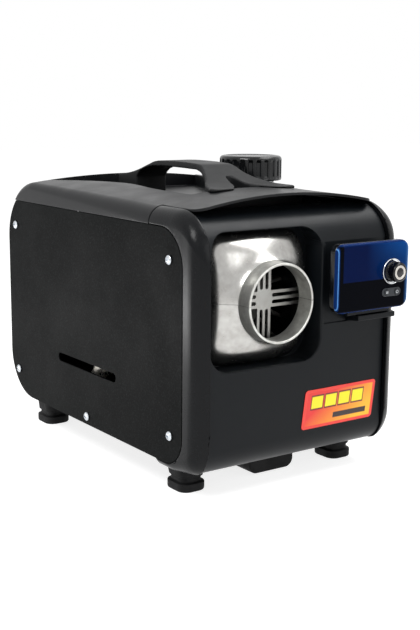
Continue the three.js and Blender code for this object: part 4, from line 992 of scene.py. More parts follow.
@dataclass
class Case:
    """Front rim, front panel, top cover, side panels and rear cover."""

    finishes: Finishes
    form: CaseForm = field(default_factory=CaseForm)
    column: float = 15.0
    rim_wall: float = 5.4
    hoop: float = 25.0
    wall: float = 2.6
    sheet: float = 2.0
    setback: float = 5.0
    panel_roll: float = 42.0
    outlet: Point2 = (-39.3, 184.0)
    pocket_half: Point2 = (63.5, 63.0)
    pocket_depth: float = 25.0
    pocket_corner: float = 20.0
    pocket_rise: float = 1.2
    field_depth: float = 1.2
    field_bottom: float = 155.0
    visor: float = 57.0
    visor_corner: float = 13.0
    recess: Point2 = (104.0, 345.0)
    recess_floor: float = 262.0
    recess_halves: Point3 = (68.0, 63.0, 102.0)
    recess_waist: float = 230.0
    side_edge: float = 39.5
    side_corners: Point2 = (36.0, 29.0)
    slot: tuple[float, float, float, float] = (156.0, 275.0, 93.0, 9.0)
    cap: Point2 = (65.7, 188.0)
    boss: float = 35.0
    neck: float = 25.0
    rear_reach: float = 58.0
    rear_corner: float = 4.0
    intake: float = 54.0
    socket: tuple[float, float, float, float, float] = (72.0, 86.0, 15.0, 11.0, 3.0)
    throat: Point2 = (54.3, 60.8)
    throat_corner: float = 22.0
    screws: tuple[Point2, ...] = ((60.0, 222.6), (371.0, 224.0), (59.0, 59.7), (370.4, 60.0), (214.0, 41.0))

    @property
    def inner(self) -> float:
        """Half the width between the rim's columns."""
        return self.form.half - self.column

    def side_outline(self, grow: float) -> list[Point2]:
        """Outline of a side panel in (y, z), grown by an amount."""
        f = self.form
        top = f.seam - f.fit + grow
        rear_centre = f.shoulder_height(*f.top_at(f.rear), f.half) - f.rear_top_roll
        radius = f.rear_top_roll + grow
        meet = math.degrees(math.asin(min(0.99, (top - rear_centre) / radius)))
        upper, lower = (corner + grow for corner in self.side_corners)
        edge, bottom, low = self.side_edge - grow, f.bottom - grow, f.rear_bottom_roll
        return [
            *arc(f.rear - low, f.bottom + low, low + grow, -90, 0, 16),
            *arc(f.rear - f.rear_top_roll, rear_centre, radius, 0, meet, 14),
            *arc(edge + upper, top - upper, upper, 90, 180, 14),
            *arc(edge + lower, bottom + lower, lower, 180, 270, 14),
        ]

    def make_sides(self) -> None:
        """Flat sheet steel panels with a narrow slot, and a hollow edge where they meet the rim."""
        y0, y1, level, tall = self.slot
        slot = rounded((y0 + y1) / 2, level, (y1 - y0) / 2, tall / 2, tall / 2, 8)
        for side, name in ((-1, "left"), (1, "right")):
            low, high = sorted((side * self.form.half, side * (self.form.half - self.sheet)))
            plate = along_x(self.side_outline(0), low, high).piece(f"side_plate_{name}")
            carve(plate, along_x(slot, low - 1, high + 1))
            soften(plate, 0.55, 60)
            publish(plate, self.finishes.powder, "powder_coat", f"side_panel_{name}")

    def seats(self) -> list[Form]:
        """What the side panels need cut out of the rim."""
        inside, far = self.form.half - self.sheet - self.form.fit, self.form.half + 5
        outline = self.side_outline(0.5)
        return [along_x(outline, inside, far), along_x(outline, -far, -inside)]

    def make_rim(self) -> None:
        """The moulded front rim: two columns, an arched lintel and a sill in one rolled skin."""
        f = self.form
        opening = self.inner + f.fit
        lintel = block(-opening, opening, f.front, f.rim_rear + f.fit, f.seam, f.crown + f.fit).piece()
        carve(lintel, f.body(self.wall + f.fit, f.front - 1, f.half, f.body_corner))
        rim = f.rim(0, f.rim_rear).piece("rim_moulding")
        carve(
            rim, f.rim(self.rim_wall, f.rim_rear + 1),
            block(-opening, opening, f.front - 5, f.rim_rear - self.hoop, 0, f.crown + 5), lintel,
            *self.seats(),
        )
        soften(rim, 1.0, 48)
        publish(rim, self.finishes.rim, "moulding_gloss", "front_bezel", crease=38)

    def panel_profile(self, wall: float) -> list[Point2]:
        """Side view of the front panel: its skin, or with no wall all that lies behind it."""
        f = self.form
        top = f.crown - (f.arch - math.sqrt(f.arch**2 - self.inner**2)) - self.wall - f.fit
        face, rear = f.front + self.setback, f.rim_rear - self.hoop - f.fit
        upper = (face + self.panel_roll, top - self.panel_roll)
        lower = (face + f.bottom_roll, f.rim_bottom + f.bottom_roll)
        outline = [
            (rear, f.rim_bottom), *arc(*lower, f.bottom_roll, -90, -180, 14),
            *arc(*upper, self.panel_roll, 180, 90, 18), (rear, top),
        ]
        if wall > 0:
            outline += [
                (rear, top - wall), *arc(*upper, self.panel_roll - wall, 90, 180, 18),
                *arc(*lower, f.bottom_roll - wall, 180, 270, 14), (rear, f.rim_bottom + wall),
            ]
        return outline

    def pocket(self, grow: float) -> list[Point2]:
        """Outline of the pocket that the outlet hood sits in."""
        x, z = self.outlet
        half_x, half_z = self.pocket_half
        return rounded(x, z + self.pocket_rise, half_x + grow, half_z + grow, self.pocket_corner + grow, 12)

    def make_panel(self) -> None:
        """The front panel: a rolled skin with the outlet's pocket and a shallow field for the display."""
        f = self.form
        half, face = self.inner - f.fit, f.front + self.setback
        floor = face + self.pocket_depth
        x, z = self.outlet
        walls = along_y(self.pocket(self.wall), f.front, floor + self.wall).piece()
        carve(walls, along_x(self.panel_profile(0), -half, half), how=Cut.COMMON)
        panel = along_x(self.panel_profile(self.wall), -half, half).piece("front_moulding")
        carve(panel, walls, how=Cut.JOIN)
        field_left = x + self.pocket_half[0] + self.wall
        mouth = [
            at_depth(self.pocket(grow), y)
            for y, grow in ((f.front - 5, 1.9), (face, 1.9), (face + 0.25, 1.0), (face + 0.9, 0.35),
                            (face + 1.9, 0.0), (floor, 0.0))
        ]
        carve(
            panel, loft(mouth),
            along_y(rounded(x, z, *self.throat, self.throat_corner), floor - 5, floor + 10),
            block(field_left + 1.4, half + 1, f.front, face + self.field_depth, self.field_bottom, f.crown),
        )
        soften(panel, 0.7, 50)
        publish(panel, self.finishes.panel, "moulding_satin", "front_panel", crease=36)

    def recess_outline(self, inset: float) -> list[Point2]:
        """Outline of the finger well in the top, drawn in by an amount."""
        front, rear = self.recess[0] + inset, self.recess[1] - inset
        at_front, at_waist, at_rear = self.recess_halves
        waist = self.recess_waist
        side = [
            (at_front - inset, front), ((at_front + at_waist) / 2 + 3 - inset, (front + waist) / 2),
            (at_waist - inset, waist), ((at_waist + at_rear) / 2 - 6 - inset, (waist + rear) / 2),
            (at_rear - inset, rear),
        ]
        right = [side[0], *spline(side, 8)]
        return [*right, *[(-x, y) for x, y in reversed(right)]]

    def well(self, inset: float, low: float, high: float) -> Piece:
        """The finger well's space, clear of the boss round the filler neck."""
        space = along_z(self.recess_outline(inset), low, high).piece("well")
        return carve(space, along_z(circle(*self.cap, self.boss + inset), low - 1, high + 1))

    def make_cover(self) -> None:
        """The arched top cover with its visor over the front rim and its finger well."""
        f = self.form
        visor_front, above = f.rim_rear - self.visor, f.crown + 5
        inside = f.body(self.wall, visor_front - 1, f.half, f.body_corner).piece()
        carve(inside, self.well(0, self.recess_floor - self.wall, above))
        half = self.inner - f.fit
        cover = f.body(0, visor_front, f.half, f.body_corner).piece("cover_moulding")
        carve(
            cover, inside, self.well(self.wall, self.recess_floor, above + 1),
            block(-f.half - 5, f.half + 5, 0, f.rear + 5, 0, f.seam),
            block(half, f.half + 5, visor_front - 1, f.rim_rear + f.fit, 0, above),
            block(-f.half - 5, -half, visor_front - 1, f.rim_rear + f.fit, 0, above),
            along_z(circle(*self.cap, self.neck + 2), f.seam, above),
            *self.visor_corners(half, visor_front, above),
        )
        soften(cover, 0.6, 42)
        publish(cover, self.finishes.cover, "moulding_gloss", "top_cover", crease=38)

    def visor_corners(self, half: float, front: float, above: float) -> list[Form]:
        """What rounds off the visor's two front corners, seen from above."""
        r, seam = self.visor_corner, self.form.seam
        tools = []
        for side in (-1, 1):
            turn = arc(half - r, front + r, r, 0, -90, 10)
            outline = [(side * x, y) for x, y in [(half + 2, front - 2), (half + 2, front + r), *turn,
                                                  (half - r, front - 2)]]
            tools.append(along_z(outline, seam, above))
        return tools

    def make_rear(self) -> None:
        """The rear cover, rolled like the top, with the intake's round opening."""
        f = self.form
        front, half = f.rear - self.rear_reach, f.half - self.sheet
        cover = f.body(f.fit, front, half, self.rear_corner).piece("rear_moulding")
        carve(
            cover, f.body(self.wall + f.fit, front - 1, half, self.rear_corner),
            block(-f.half, f.half, 0, f.rear + 5, f.seam - f.fit, f.crown + 5),
            along_y(circle(*self.outlet, self.intake, 96), f.rear - 20, f.rear + 5),
            along_y(rounded(*self.socket, 6), f.rear - 20, f.rear + 5),
        )
        soften(cover, 0.5, 50)
        publish(cover, self.finishes.panel, "moulding_satin", "rear_cover", crease=36)

    def make_grille(self, around: Repeater) -> None:
        """The intake guard: two rings on ribs, in a raised rim."""
        x, z = self.outlet
        rear = self.form.rear - self.form.fit
        back = rear - self.wall

        spoke = along_y(rounded(0, 28, 2, 24, 0.8, 3), back, rear).piece("spoke")
        around.run(spoke, Count=4, Centre=(x, 0.0, z), Material=self.finishes.panel)
        parts = []
        for outer, inner, low in ((53.7, 50, back - 4), (36.2, 33.2, back), (18.4, 15.4, back)):
            profile = rounded_off(outer, inner, low, rear, 0.5)
            parts.append(hoop(profile, x, z).piece("hoop"))
        grille = merged("intake_guard", [coat(part) for part in (*parts, spoke)])
        publish(grille, self.finishes.panel, "moulding_satin", "rear_intake_grille")

    def make_screws(self, places: Repeater) -> None:
        """Pan-head screws with a cross recess along the side panels."""
        profile = [(0, -9), (1.8, -9), (1.8, 0), (4.2, 0), (4.4, 0.3), (4.35, 0.9), (3.6, 1.7), (2.6, 2.25),
                   (1.3, 2.4), (0, 2.4)]
        screw = turned(profile, 40).piece("screw_pattern")
        carve(screw, block(-2.4, 2.4, -0.55, 0.55, 0.9, 5), block(-0.55, 0.55, -2.4, 2.4, 0.9, 5))
        for side, name in ((-1, "left"), (1, "right")):
            seat = side * (self.form.half + self.form.fit)
            points = bpy.data.meshes.new(f"screws_{name}")
            points.from_pydata([(seat, y, z) for y, z in self.screws], [], [])
            row = show(bpy.data.objects.new(f"screws_{name}", points))
            places.run(row, Pattern=screw, Turn=(0.0, side * math.pi / 2, 0.0), Material=self.finishes.zinc)
            nodes = [f"panel_screw_{name}_{i}" for i in range(1, 6)]
            publish(row, self.finishes.zinc, "zinc", *nodes)
        bpy.data.objects.remove(screw)


# ------------------------------------------------------------------ handle, feet and skid


@dataclass
class Handle:
    """The carry handle: splayed toes in front, a raised grip and a deep rear leg in the finger well."""

    finishes: Finishes
    front: float = 92.0
    rear: float = 320.0
    grip_front: float = 166.0
    grip_rear: float = 240.0
    grip_half: float = 19.0
    top: float = 300.0
    thick: float = 6.7
    toe_half: float = 51.0
    toe_top: float = 281.0
    toe_thick: float = 6.0
    fork_half: float = 27.0
    fork_apex: float = 47.0
    leg: float = 39.0
    floor: float = 262.3

    def side(self) -> list[Point2]:
        """Side view in (y, z)."""
        under, leg_front = self.top - self.thick, self.rear - self.leg
        rise = self.top - self.toe_top
        front_run, rear_run = self.grip_front - self.front, self.rear - self.grip_rear
        climb = [(self.front + front_run * u, self.toe_top + rise * v)
                 for u, v in ((0.3, 0.5 / rise), (0.47, 0.16), (0.7, 0.52), (0.86, 0.85))]
        fall = [(self.grip_rear + rear_run * u, self.toe_top + rise * v)
                for u, v in ((0.22, 0.7), (0.5, 0.33), (0.75, 0.1), (1.0, 0.0))]
        over = [
            (self.front, self.toe_top - 1), *climb, (self.grip_front, self.top - 0.8),
            ((self.grip_front + self.grip_rear) / 2, self.top), (self.grip_rear, self.top - 1.2), *fall,
        ]
        beneath = [
            (leg_front, self.toe_top - 1), (leg_front - 5, self.toe_top + rise * 0.2),
            (leg_front - 14, self.toe_top + rise * 0.42), (self.grip_rear, under),
            (self.grip_front + 2, under),
        ]
        ahead = [
            beneath[-1], (self.front + front_run * 0.86, under - 3.5),
            (self.front + front_run * 0.72, self.toe_top + rise * 0.12),
            (self.front + front_run * 0.55, self.toe_top - self.toe_thick),
        ]
        return [
            (self.front, self.toe_top - self.toe_thick), over[0], *spline(over, 6), (self.rear, self.floor),
            (leg_front, self.floor), beneath[0], *spline(beneath, 5), *spline(ahead, 5),
        ]

    def plan(self) -> list[Point2]:
        """Top view in (x, y)."""
        spread, run = self.toe_half - self.grip_half, self.grip_front - self.front
        outer = [(self.grip_half + spread * u, self.front + run * v)
                 for u, v in ((1.0, 0.08), (0.6, 0.43), (0.34, 0.58), (0.08, 0.82), (0.0, 1.0))]
        fork = [(self.fork_half * u, self.front + self.fork_apex * v)
                for u, v in ((1.0, 0.0), (0.42, 0.45), (0.16, 0.92), (0.0, 1.0))]
        right = [fork[0], (self.toe_half - 3, self.front), outer[0], *spline(outer, 6),
                 (self.grip_half, self.rear)]
        left = [(-x, y) for x, y in reversed(right)]
        over_apex = [(-x, y) for x, y in fork] + list(reversed(fork[:3]))
        return [*right, *left, *spline(over_apex, 6)[:-1]]

    def make(self, case: Case) -> None:
        """Cuts the handle from its two views, seats it on the cover and rounds it like a moulding."""
        handle = along_x(self.side(), -self.toe_half - 5, self.toe_half + 5).piece("handle_moulding")
        carve(handle, along_z(self.plan(), self.floor - 8, self.top + 20), how=Cut.COMMON)
        f = case.form
        seat = f.body(-f.fit, f.rim_rear - case.visor - 5, f.half, f.body_corner).piece()
        carve(seat, case.well(case.wall + f.fit, case.recess_floor + 0.15, self.top + 20))
        carve(handle, seat)
        skin = handle.modifiers.new("skin", "REMESH")
        skin.mode = "VOXEL"
        skin.voxel_size = 0.9
        ease = handle.modifiers.new("ease", "SMOOTH")
        ease.factor = 0.6
        ease.iterations = 5
        evaluated(handle)
        publish(handle, self.finishes.handle, "moulding_satin", "carry_handle", crease=180)


@dataclass
class Feet:
    """Four waisted rubber feet and the skid under the front rim."""

    finishes: Finishes
    half: Point2 = (14.75, 17.0)
    flange: float = 8.5
    waist: float = 4.5
    corner: float = 10.6
    places: tuple[tuple[str, float, float, float], ...] = (
        ("foot_front_left", -92.0, 75.0, 24.7), ("foot_front_right", 92.0, 75.0, 24.7),
        ("foot_rear_left", -92.0, 346.0, 31.7), ("foot_rear_right", 92.0, 346.0, 31.7),
    )
    skid_half: float = 27.0
    skid_from: float = 60.0
    skid_to: float = 97.0
    skid_low: float = 3.5
    skid_corner: float = 9.0
    skid_top: float = 24.7

    def make(self) -> None:
        """Moulds each foot as a pad, a waist and a flange, and the skid as a rounded block."""
        for name, x, y, top in self.places:
            low, high = self.flange, self.flange + self.waist
            levels = [
                (0, -1.6), (0.3, -0.9), (1, -0.2), (2, 0), (low - 0.8, 0), (low - 0.2, -0.4),
                (low + 0.5, -2.6), (low + 1.4, -3.5), (high, -3.5), (high + 0.6, -2.4), (high + 1.4, -1.5),
                (top - 1, 0.4), (top, 0.4),
            ]
            hx, hy, r = *self.half, self.corner
            rings = [[(px, py, z) for px, py in rounded(x, y, hx + g, hy + g, r + g, 8)] for z, g in levels]
            foot = loft(rings).piece(f"{name}_rubber")
            publish(foot, self.finishes.rubber, "rubber", name, crease=50)
        c, low = self.skid_corner, self.skid_low
        outline = [
            (-self.skid_half, self.skid_top), *arc(-self.skid_half + c, low + c, c, 180, 270, 10),
            *arc(self.skid_half - c, low + c, c, 270, 360, 10), (self.skid_half, self.skid_top),
        ]
        skid = along_y(outline, self.skid_from, self.skid_to).piece("skid_rubber")
        soften(skid, 1.2, 60, 3)
        publish(skid, self.finishes.rubber, "rubber", "centre_skid")


# ------------------------------------------------------------------ outlet


@dataclass
class Outlet:
    """The cast hood that turns from square to round, its ring and the slotted guard inside."""

    finishes: Finishes
    centre: Point2 = (-39.3, 184.0)
    ring: float = 37.5
    wall: float = 3.0
    length: float = 16.0
    rear: float = 51.0
    slope: float = 0.5
    fillet: float = 3.2
    roll_wide: float = 20.0
    roll_deep: float = 10.0
    half: Point2 = (56.5, 61.6)
    corner: float = 17.0
    count: int = 128

    def reach(self, angle: float, inset: float) -> float:
        """Distance from the axis to the square end's outline in a direction."""
        half_x, half_z, radius = (value - inset for value in (*self.half, self.corner))
        c, s = abs(math.cos(angle)), abs(math.sin(angle))
        if s * half_x <= c * (half_z - radius):
            return half_x / c
        if c * half_z <= s * (half_x - radius):
            return half_z / s
        u, v = half_x - radius, half_z - radius
        along = c * u + s * v
        return along + math.sqrt(along**2 - u**2 - v**2 + radius**2)

    def circle_at(self, y: float, radius: float) -> Ring:
        """A round section at a depth."""
        return at_depth(circle(*self.centre, radius, self.count), y)

    def skin(self, share: float, inset: float) -> Ring:
        """A loop of the hood between its ring and its square end.

        Args:
            share: 0 at the ring and 1 at the square end.
            inset: distance inside the outer skin.

        Returns:
            The loop, set back by the cone's slope, the fillet at the ring and the roll at the square end.
        """
        start = self.ring - inset
        x, z = self.centre
        points = []
        for i in range(self.count):
            a = 2 * math.pi * (i + 0.5) / self.count
            end = self.reach(a, inset)
            radius = start + (end - start) * share
            from_ring, from_edge = radius - start, end - radius
            fillet = self.fillet * (1 - math.exp(-from_ring / self.fillet))
            over = max(0.0, 1 - from_edge / self.roll_wide)
            roll = self.roll_deep * (1 - math.sqrt(max(0.0, 1 - over**2)))
            depth = self.length + inset * 0.8 + fillet + self.slope * from_ring + roll
            points.append((x + radius * math.cos(a), depth, z + radius * math.sin(a)))
        return points

    def square_at(self, y: float, inset: float) -> Ring:
        """The square end's outline at a depth."""
        return [(px, y, pz) for px, _, pz in self.skin(1.0, inset)]

    def make_hood(self) -> None:
        """Lofts the hood's outer and inner skins, then parts it into its two castings."""
        r, w = self.ring, self.wall
        shares = [0.5 - 0.5 * math.cos(math.pi * i / 22) for i in range(23)]
        rings = [self.square_at(self.rear, 0)]
        rings += [self.skin(share, 0) for share in reversed(shares)]
        lip = ((self.length - 1, 0.4), (4, 0.5), (1.1, 0.5), (0.45, 0.75), (0.1, 1.2), (0, 1.6), (0, 2.2))
        rings += [self.circle_at(y, r - inset) for y, inset in lip]
        bore = ((0.1, 0.45), (0.5, 0.1), (1.1, 0), (8, 0))
        rings += [self.circle_at(y, r - w + inset) for y, inset in bore]
        rings += [self.skin(share, w) for share in shares]
        rings += [self.square_at(self.rear, w)]
        x, z = self.centre
        for name, low, high in (("upper", z + 0.16, z + 90), ("lower", z - 90, z - 0.16)):
            half = loft(rings, closed=True).piece(f"hood_casting_{name}")
            carve(half, block(x - 90, x + 90, -20, 80, low, high), how=Cut.COMMON)
            coat(half, self.finishes.cast, self.finishes.duct_painted_shade, self.finishes.blasted)
            for face in half.data.polygons:
                away = Vector((face.center.x - x, 0.0, face.center.z - z))
                if face.center.y < self.length:
                    face.material_index = 2
                # Faces behind the ring that face the axis get the near-black painted shade of the duct's
                # inside.
                elif face.normal.dot(away) < 0:
                    face.material_index = 1
            publish(half, None, "cast_aluminium", f"outlet_hood_{name}", crease=30)

    def make_guard(self) -> None:
        """The punched guard: slotted arms in a cross, with their edges dulled."""
        guard = copy_of("outlet_guard", "guard_casting")
        soften(guard, 0.45, 50)
        publish(guard, self.finishes.dull_cast, "steel", "outlet_guard")


# ------------------------------------------------------------------ filler cap


@dataclass
class FillerCap:
    """The fluted screw cap, hollow below for the neck."""

    finishes: Finishes
    centre: Point2 = (65.7, 188.0)
    radius: float = 33.0
    bottom: float = 279.5
    height: float = 25.5
    ribs: int = 24
    depth: float = 1.3
    roof: float = 4.0
    neck: float = 25.0

    def flute(self, angle: float, height: float) -> float:
        """What the radius loses in the hollow between two ribs."""
        top, low = self.bottom + self.height - 3.6, self.bottom + 2.4
        if not low < height < top:
            return 0.0
        phase = (angle * self.ribs / (2 * math.pi)) % 1.0
        edge = min(abs(phase - 0.5) * 2, 1.0)
        hollow = max(0.0, min(1.0, (0.62 - edge) / 0.22))
        ends = min(1.0, (height - low) / 1.2, (top - height) / 1.2)
        return self.depth * hollow * hollow * (3 - 2 * hollow) * max(0.0, ends)

    def make(self) -> None:
        """Turns the cap with its flutes, hollow below for the neck."""
        top, r = self.bottom + self.height, self.radius
        bore, ceiling = self.neck + 1.3, top - self.roof
        side = [(r, self.bottom + 0.8 + (self.height - 4.8) * i / 14) for i in range(15)]
        profile = [
            (0, ceiling), (bore - 0.4, ceiling), (bore, ceiling - 0.4), (bore, self.bottom + 0.5),
            (bore + 0.5, self.bottom), (r - 0.8, self.bottom), (r - 0.2, self.bottom + 0.3), *side,
            (r - 0.15, top - 3.0), (r - 0.9, top - 1.5), (r - 2.2, top - 0.5), (r - 4, top - 0.05),
            (r - 5, top), (r - 6.2, top), (r - 7.2, top - 0.5), (r - 9, top - 0.7), (0, top - 0.7),
        ]
        cap = turned(profile, self.ribs * 14, self.flute).moved(*self.centre, 0).piece("cap_moulding")
        publish(cap, self.finishes.cap, "moulding_satin", "fuel_cap", body=Body.CAP, crease=44)


# ------------------------------------------------------------------ controller


@dataclass
class Controller:
    """The display unit: a shallow housing, its window, a push knob in a ring and two small buttons."""

    finishes: Finishes
    centre: Point2 = (64.2, 201.0)
    half: Point2 = (45.5, 32.5)
    front: float = -8.0
    depth: float = 13.0
    corner: float = 9.0
    face: float = 1.2
    roll: float = 4.6
    knob_at: Point2 = (86.7, 204.5)
    knob_radius: float = 10.0
    knob_length: float = 11.0
    ring_radius: float = 12.4
    ring_height: float = 1.4
    travel: float = 0.8
    pitch: float = 13.0
    drop: float = 20.0
    button: float = 2.8
    pad: Point2 = (12.0, 4.0)
    keyway: float = 3.3
    fit: float = 0.3

    def slab(self, name: str, stations: Sequence[tuple[float, float]]) -> Piece:
        """A rounded slab through stations of depth and inset."""
        x, z = self.centre
        hx, hz, r = *self.half, self.corner
        return loft([at_depth(rounded(x, z, hx - g, hz - g, r - g, 12), y) for y, g in stations]).piece(name)

    def make_housing(self) -> None:
        """Housing and window, both rounded at their edges."""
        back, join = self.front + self.depth, self.front + self.roll
        housing = self.slab("display_housing", [
            (join + self.fit, 0.3), (join + self.fit + 0.4, 0), (back - 3, 0), (back - 1.2, 0.5),
            (back - 0.3, 1.4), (back, 2.6),
        ])
        x, z = self.centre
        hollow = rounded(x, z, self.half[0] - 2, self.half[1] - 2, self.corner - 2)
        carve(housing, along_y(hollow, join - 1, back - 2.2))
        publish(housing, self.finishes.housing, "moulding_gloss", "controller_case")
        window = self.slab("display_window", [
            (self.front, 3.4), (self.front + 0.1, 2.4), (self.front + 0.4, 1.6), (self.front + 1.1, 0.75),
            (self.front + 2.1, 0.2), (self.front + 3.3, 0), (join, 0),
        ])
        edge = 3.6
        inner = rounded(x, z, self.half[0] - edge, self.half[1] - edge, self.corner - edge)
        stem = along_y(circle(*self.knob_at, self.keyway, 32), self.front - 1, 0)
        hollow = along_y(inner, self.front + self.face, join + 1)
        carve(window, hollow, stem, *self.button_holes(self.front - 1, 32))
        publish(window, self.finishes.window, "blue_glass", "controller_face", crease=50)

    def buttons(self) -> list[Point2]:
        """Centres of the two buttons."""
        x, z = self.knob_at
        return [(x - self.pitch / 2, z - self.drop), (x + self.pitch / 2, z - self.drop)]

    def button_holes(self, front: float, count: int) -> list[Form]:
        """What lets the buttons through a plate, from a depth back."""
        return [along_y(circle(x, z, self.button + self.fit, count), front, 0) for x, z in self.buttons()]

    def make_knob(self, around: Repeater) -> None:
        """Chrome ring, ribbed knob with a bright face and a dark eye, and its stem."""
        x, z = self.knob_at
        ring_front = self.front - self.fit - self.ring_height
        outer, inner = self.ring_radius, self.knob_radius + self.fit
        profile = [
            (outer, self.front - self.fit), (outer, ring_front + 0.6), (outer - 0.2, ring_front + 0.15),
            (outer - 0.5, ring_front), (outer - 0.9, ring_front + 0.15), (outer - 1.1, ring_front + 0.7),
            (inner, ring_front + 0.9), (inner, self.front - self.fit),
        ]
        publish(hoop(profile, x, z).piece("knob_collar"), self.finishes.chrome, "chrome", "knob_ring")

        back = self.front - self.fit - self.travel
        front, r = back - self.knob_length, self.knob_radius
        barrel = turned([
            (0, front + 0.6), (6.9, front + 0.6), (7.1, front + 0.1), (7.5, front), (r - 2.0, front + 0.1),
            (r - 1.3, front + 0.5), (r - 0.9, front + 1.2), (r - 0.6, back - 0.4), (r - 0.9, back), (0, back),
        ], 64).facing_front(x, z).piece("knob_barrel")
        coat(barrel, self.finishes.housing)
        rib = along_y(rounded(0, r - 0.85, 0.28, 0.42, 0.2, 2), front + 1.6, back - 0.5).piece("rib")
        around.run(rib, Count=40, Centre=(x, 0.0, z), Material=self.finishes.housing)
        bright = turned([
            (0, front + 0.65), (6.9, front + 0.65), (6.8, front + 0.4), (6.3, front + 0.22),
            (5.4, front + 0.22), (4.7, front + 0.45), (4.4, front + 0.7), (0, front + 0.72),
        ], 64).facing_front(x, z).piece("knob_face")
        coat(bright, self.finishes.gunmetal)
        tooth = along_y(rounded(0, 5.7, 0.3, 0.95, 0.25, 3), front + 0.05, front + 0.5).piece("tooth")
        around.run(tooth, Count=26, Centre=(x, 0.0, z), Material=self.finishes.gunmetal)
        eye = turned([
            (0, front + 0.74), (4.3, front + 0.74), (4.1, front + 0.5), (2.8, front + 0.22),
            (1.4, front + 0.1), (0, front + 0.06),
        ], 48).facing_front(x, z).piece("knob_eye")
        coat(eye, self.finishes.eye)
        knob = merged("knob_ribbed", [barrel, rib, bright, tooth, eye])
        publish(knob, None, "chrome", "knob", body=Body.KNOB)
        coat(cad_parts["knob_shaft"], self.finishes.steel)

    def make_buttons(self) -> None:
        """Pill-shaped pad, two buttons and their small generic marks."""
        x, z = self.knob_at
        row = z - self.drop
        back = self.front - self.fit
        rings = [
            at_depth(rounded(x, row, self.pad[0] - g, self.pad[1] - g, self.pad[1] - g, 12), y)
            for y, g in ((back, 0), (back - 0.35, 0), (back - 0.6, 0.3))
        ]
        pad = loft(rings).piece("button_pad")
        carve(pad, *self.button_holes(self.front - 3, 40))
        publish(pad, self.finishes.pad, "grey_pad", "button_plate")
        tip = back - 0.6 - 0.6 - 0.4
        rear = self.front + self.face + 2
        for (bx, bz), node, body in zip(self.buttons(), ("button_menu", "button_power"),
                                        (Body.BUTTON_LEFT, Body.BUTTON_RIGHT)):
            r = self.button
            key = turned([
                (0, tip), (r - 0.8, tip), (r - 0.3, tip + 0.15), (r, tip + 0.5), (r, rear - 1.7),
                (r + 1, rear - 1.7), (r + 1, rear), (0, rear),
            ], 40).facing_front(bx, bz).piece(f"{node}_key")
            coat(key, self.finishes.pad)
            if body is Body.BUTTON_RIGHT:
                open_ring = arc(bx, bz, 1.5, 125, 410, 19) + arc(bx, bz, 1.15, 410, 125, 19)
                shapes = [open_ring, rounded(bx, bz + 1.2, 0.17, 0.65, 0.1, 3)]
            else:
                shapes = [rounded(bx, bz + lift, 1.35, 0.17, 0.1, 3) for lift in (-0.85, 0.0, 0.85)]
            marks = [along_y(shape, tip - 0.06, tip + 0.2).piece("mark") for shape in shapes]
            marks = [coat(mark, self.finishes.mark) for mark in marks]
            publish(merged(f"{node}_cap", [key, *marks]), None, "grey_pad", node, body=body)

    def make_bracket(self) -> None:
        """The stay behind the display and the lip below it."""
        bracket = copy_of("controller_bracket", "display_stay")
        soften(bracket, 0.6, 50)
        publish(bracket, self.finishes.panel, "moulding_satin", "controller_bracket")

    def make_label(self) -> None:
        """The printed label's film, a leaning plate with round corners."""
        low, high = (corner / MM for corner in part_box("label_plate"))
        front, back = low.y - DATUM.depth, high.y - DATUM.depth
        (cx, cz), (hx, hz) = PrintedFilm.centre, PrintedFilm.half
        lean = PrintedFilm.slant / (2 * hz)
        outline = [(x + (z - cz) * lean, z) for x, z in rounded(cx, cz, hx, hz, 3.5, 8)]
        film = along_y(outline, front, back).piece("label_film")
        soften(film, 0.12, 60, 1)
        publish(film, self.finishes.label, "label", "label_plate")


# ------------------------------------------------------------------ inside


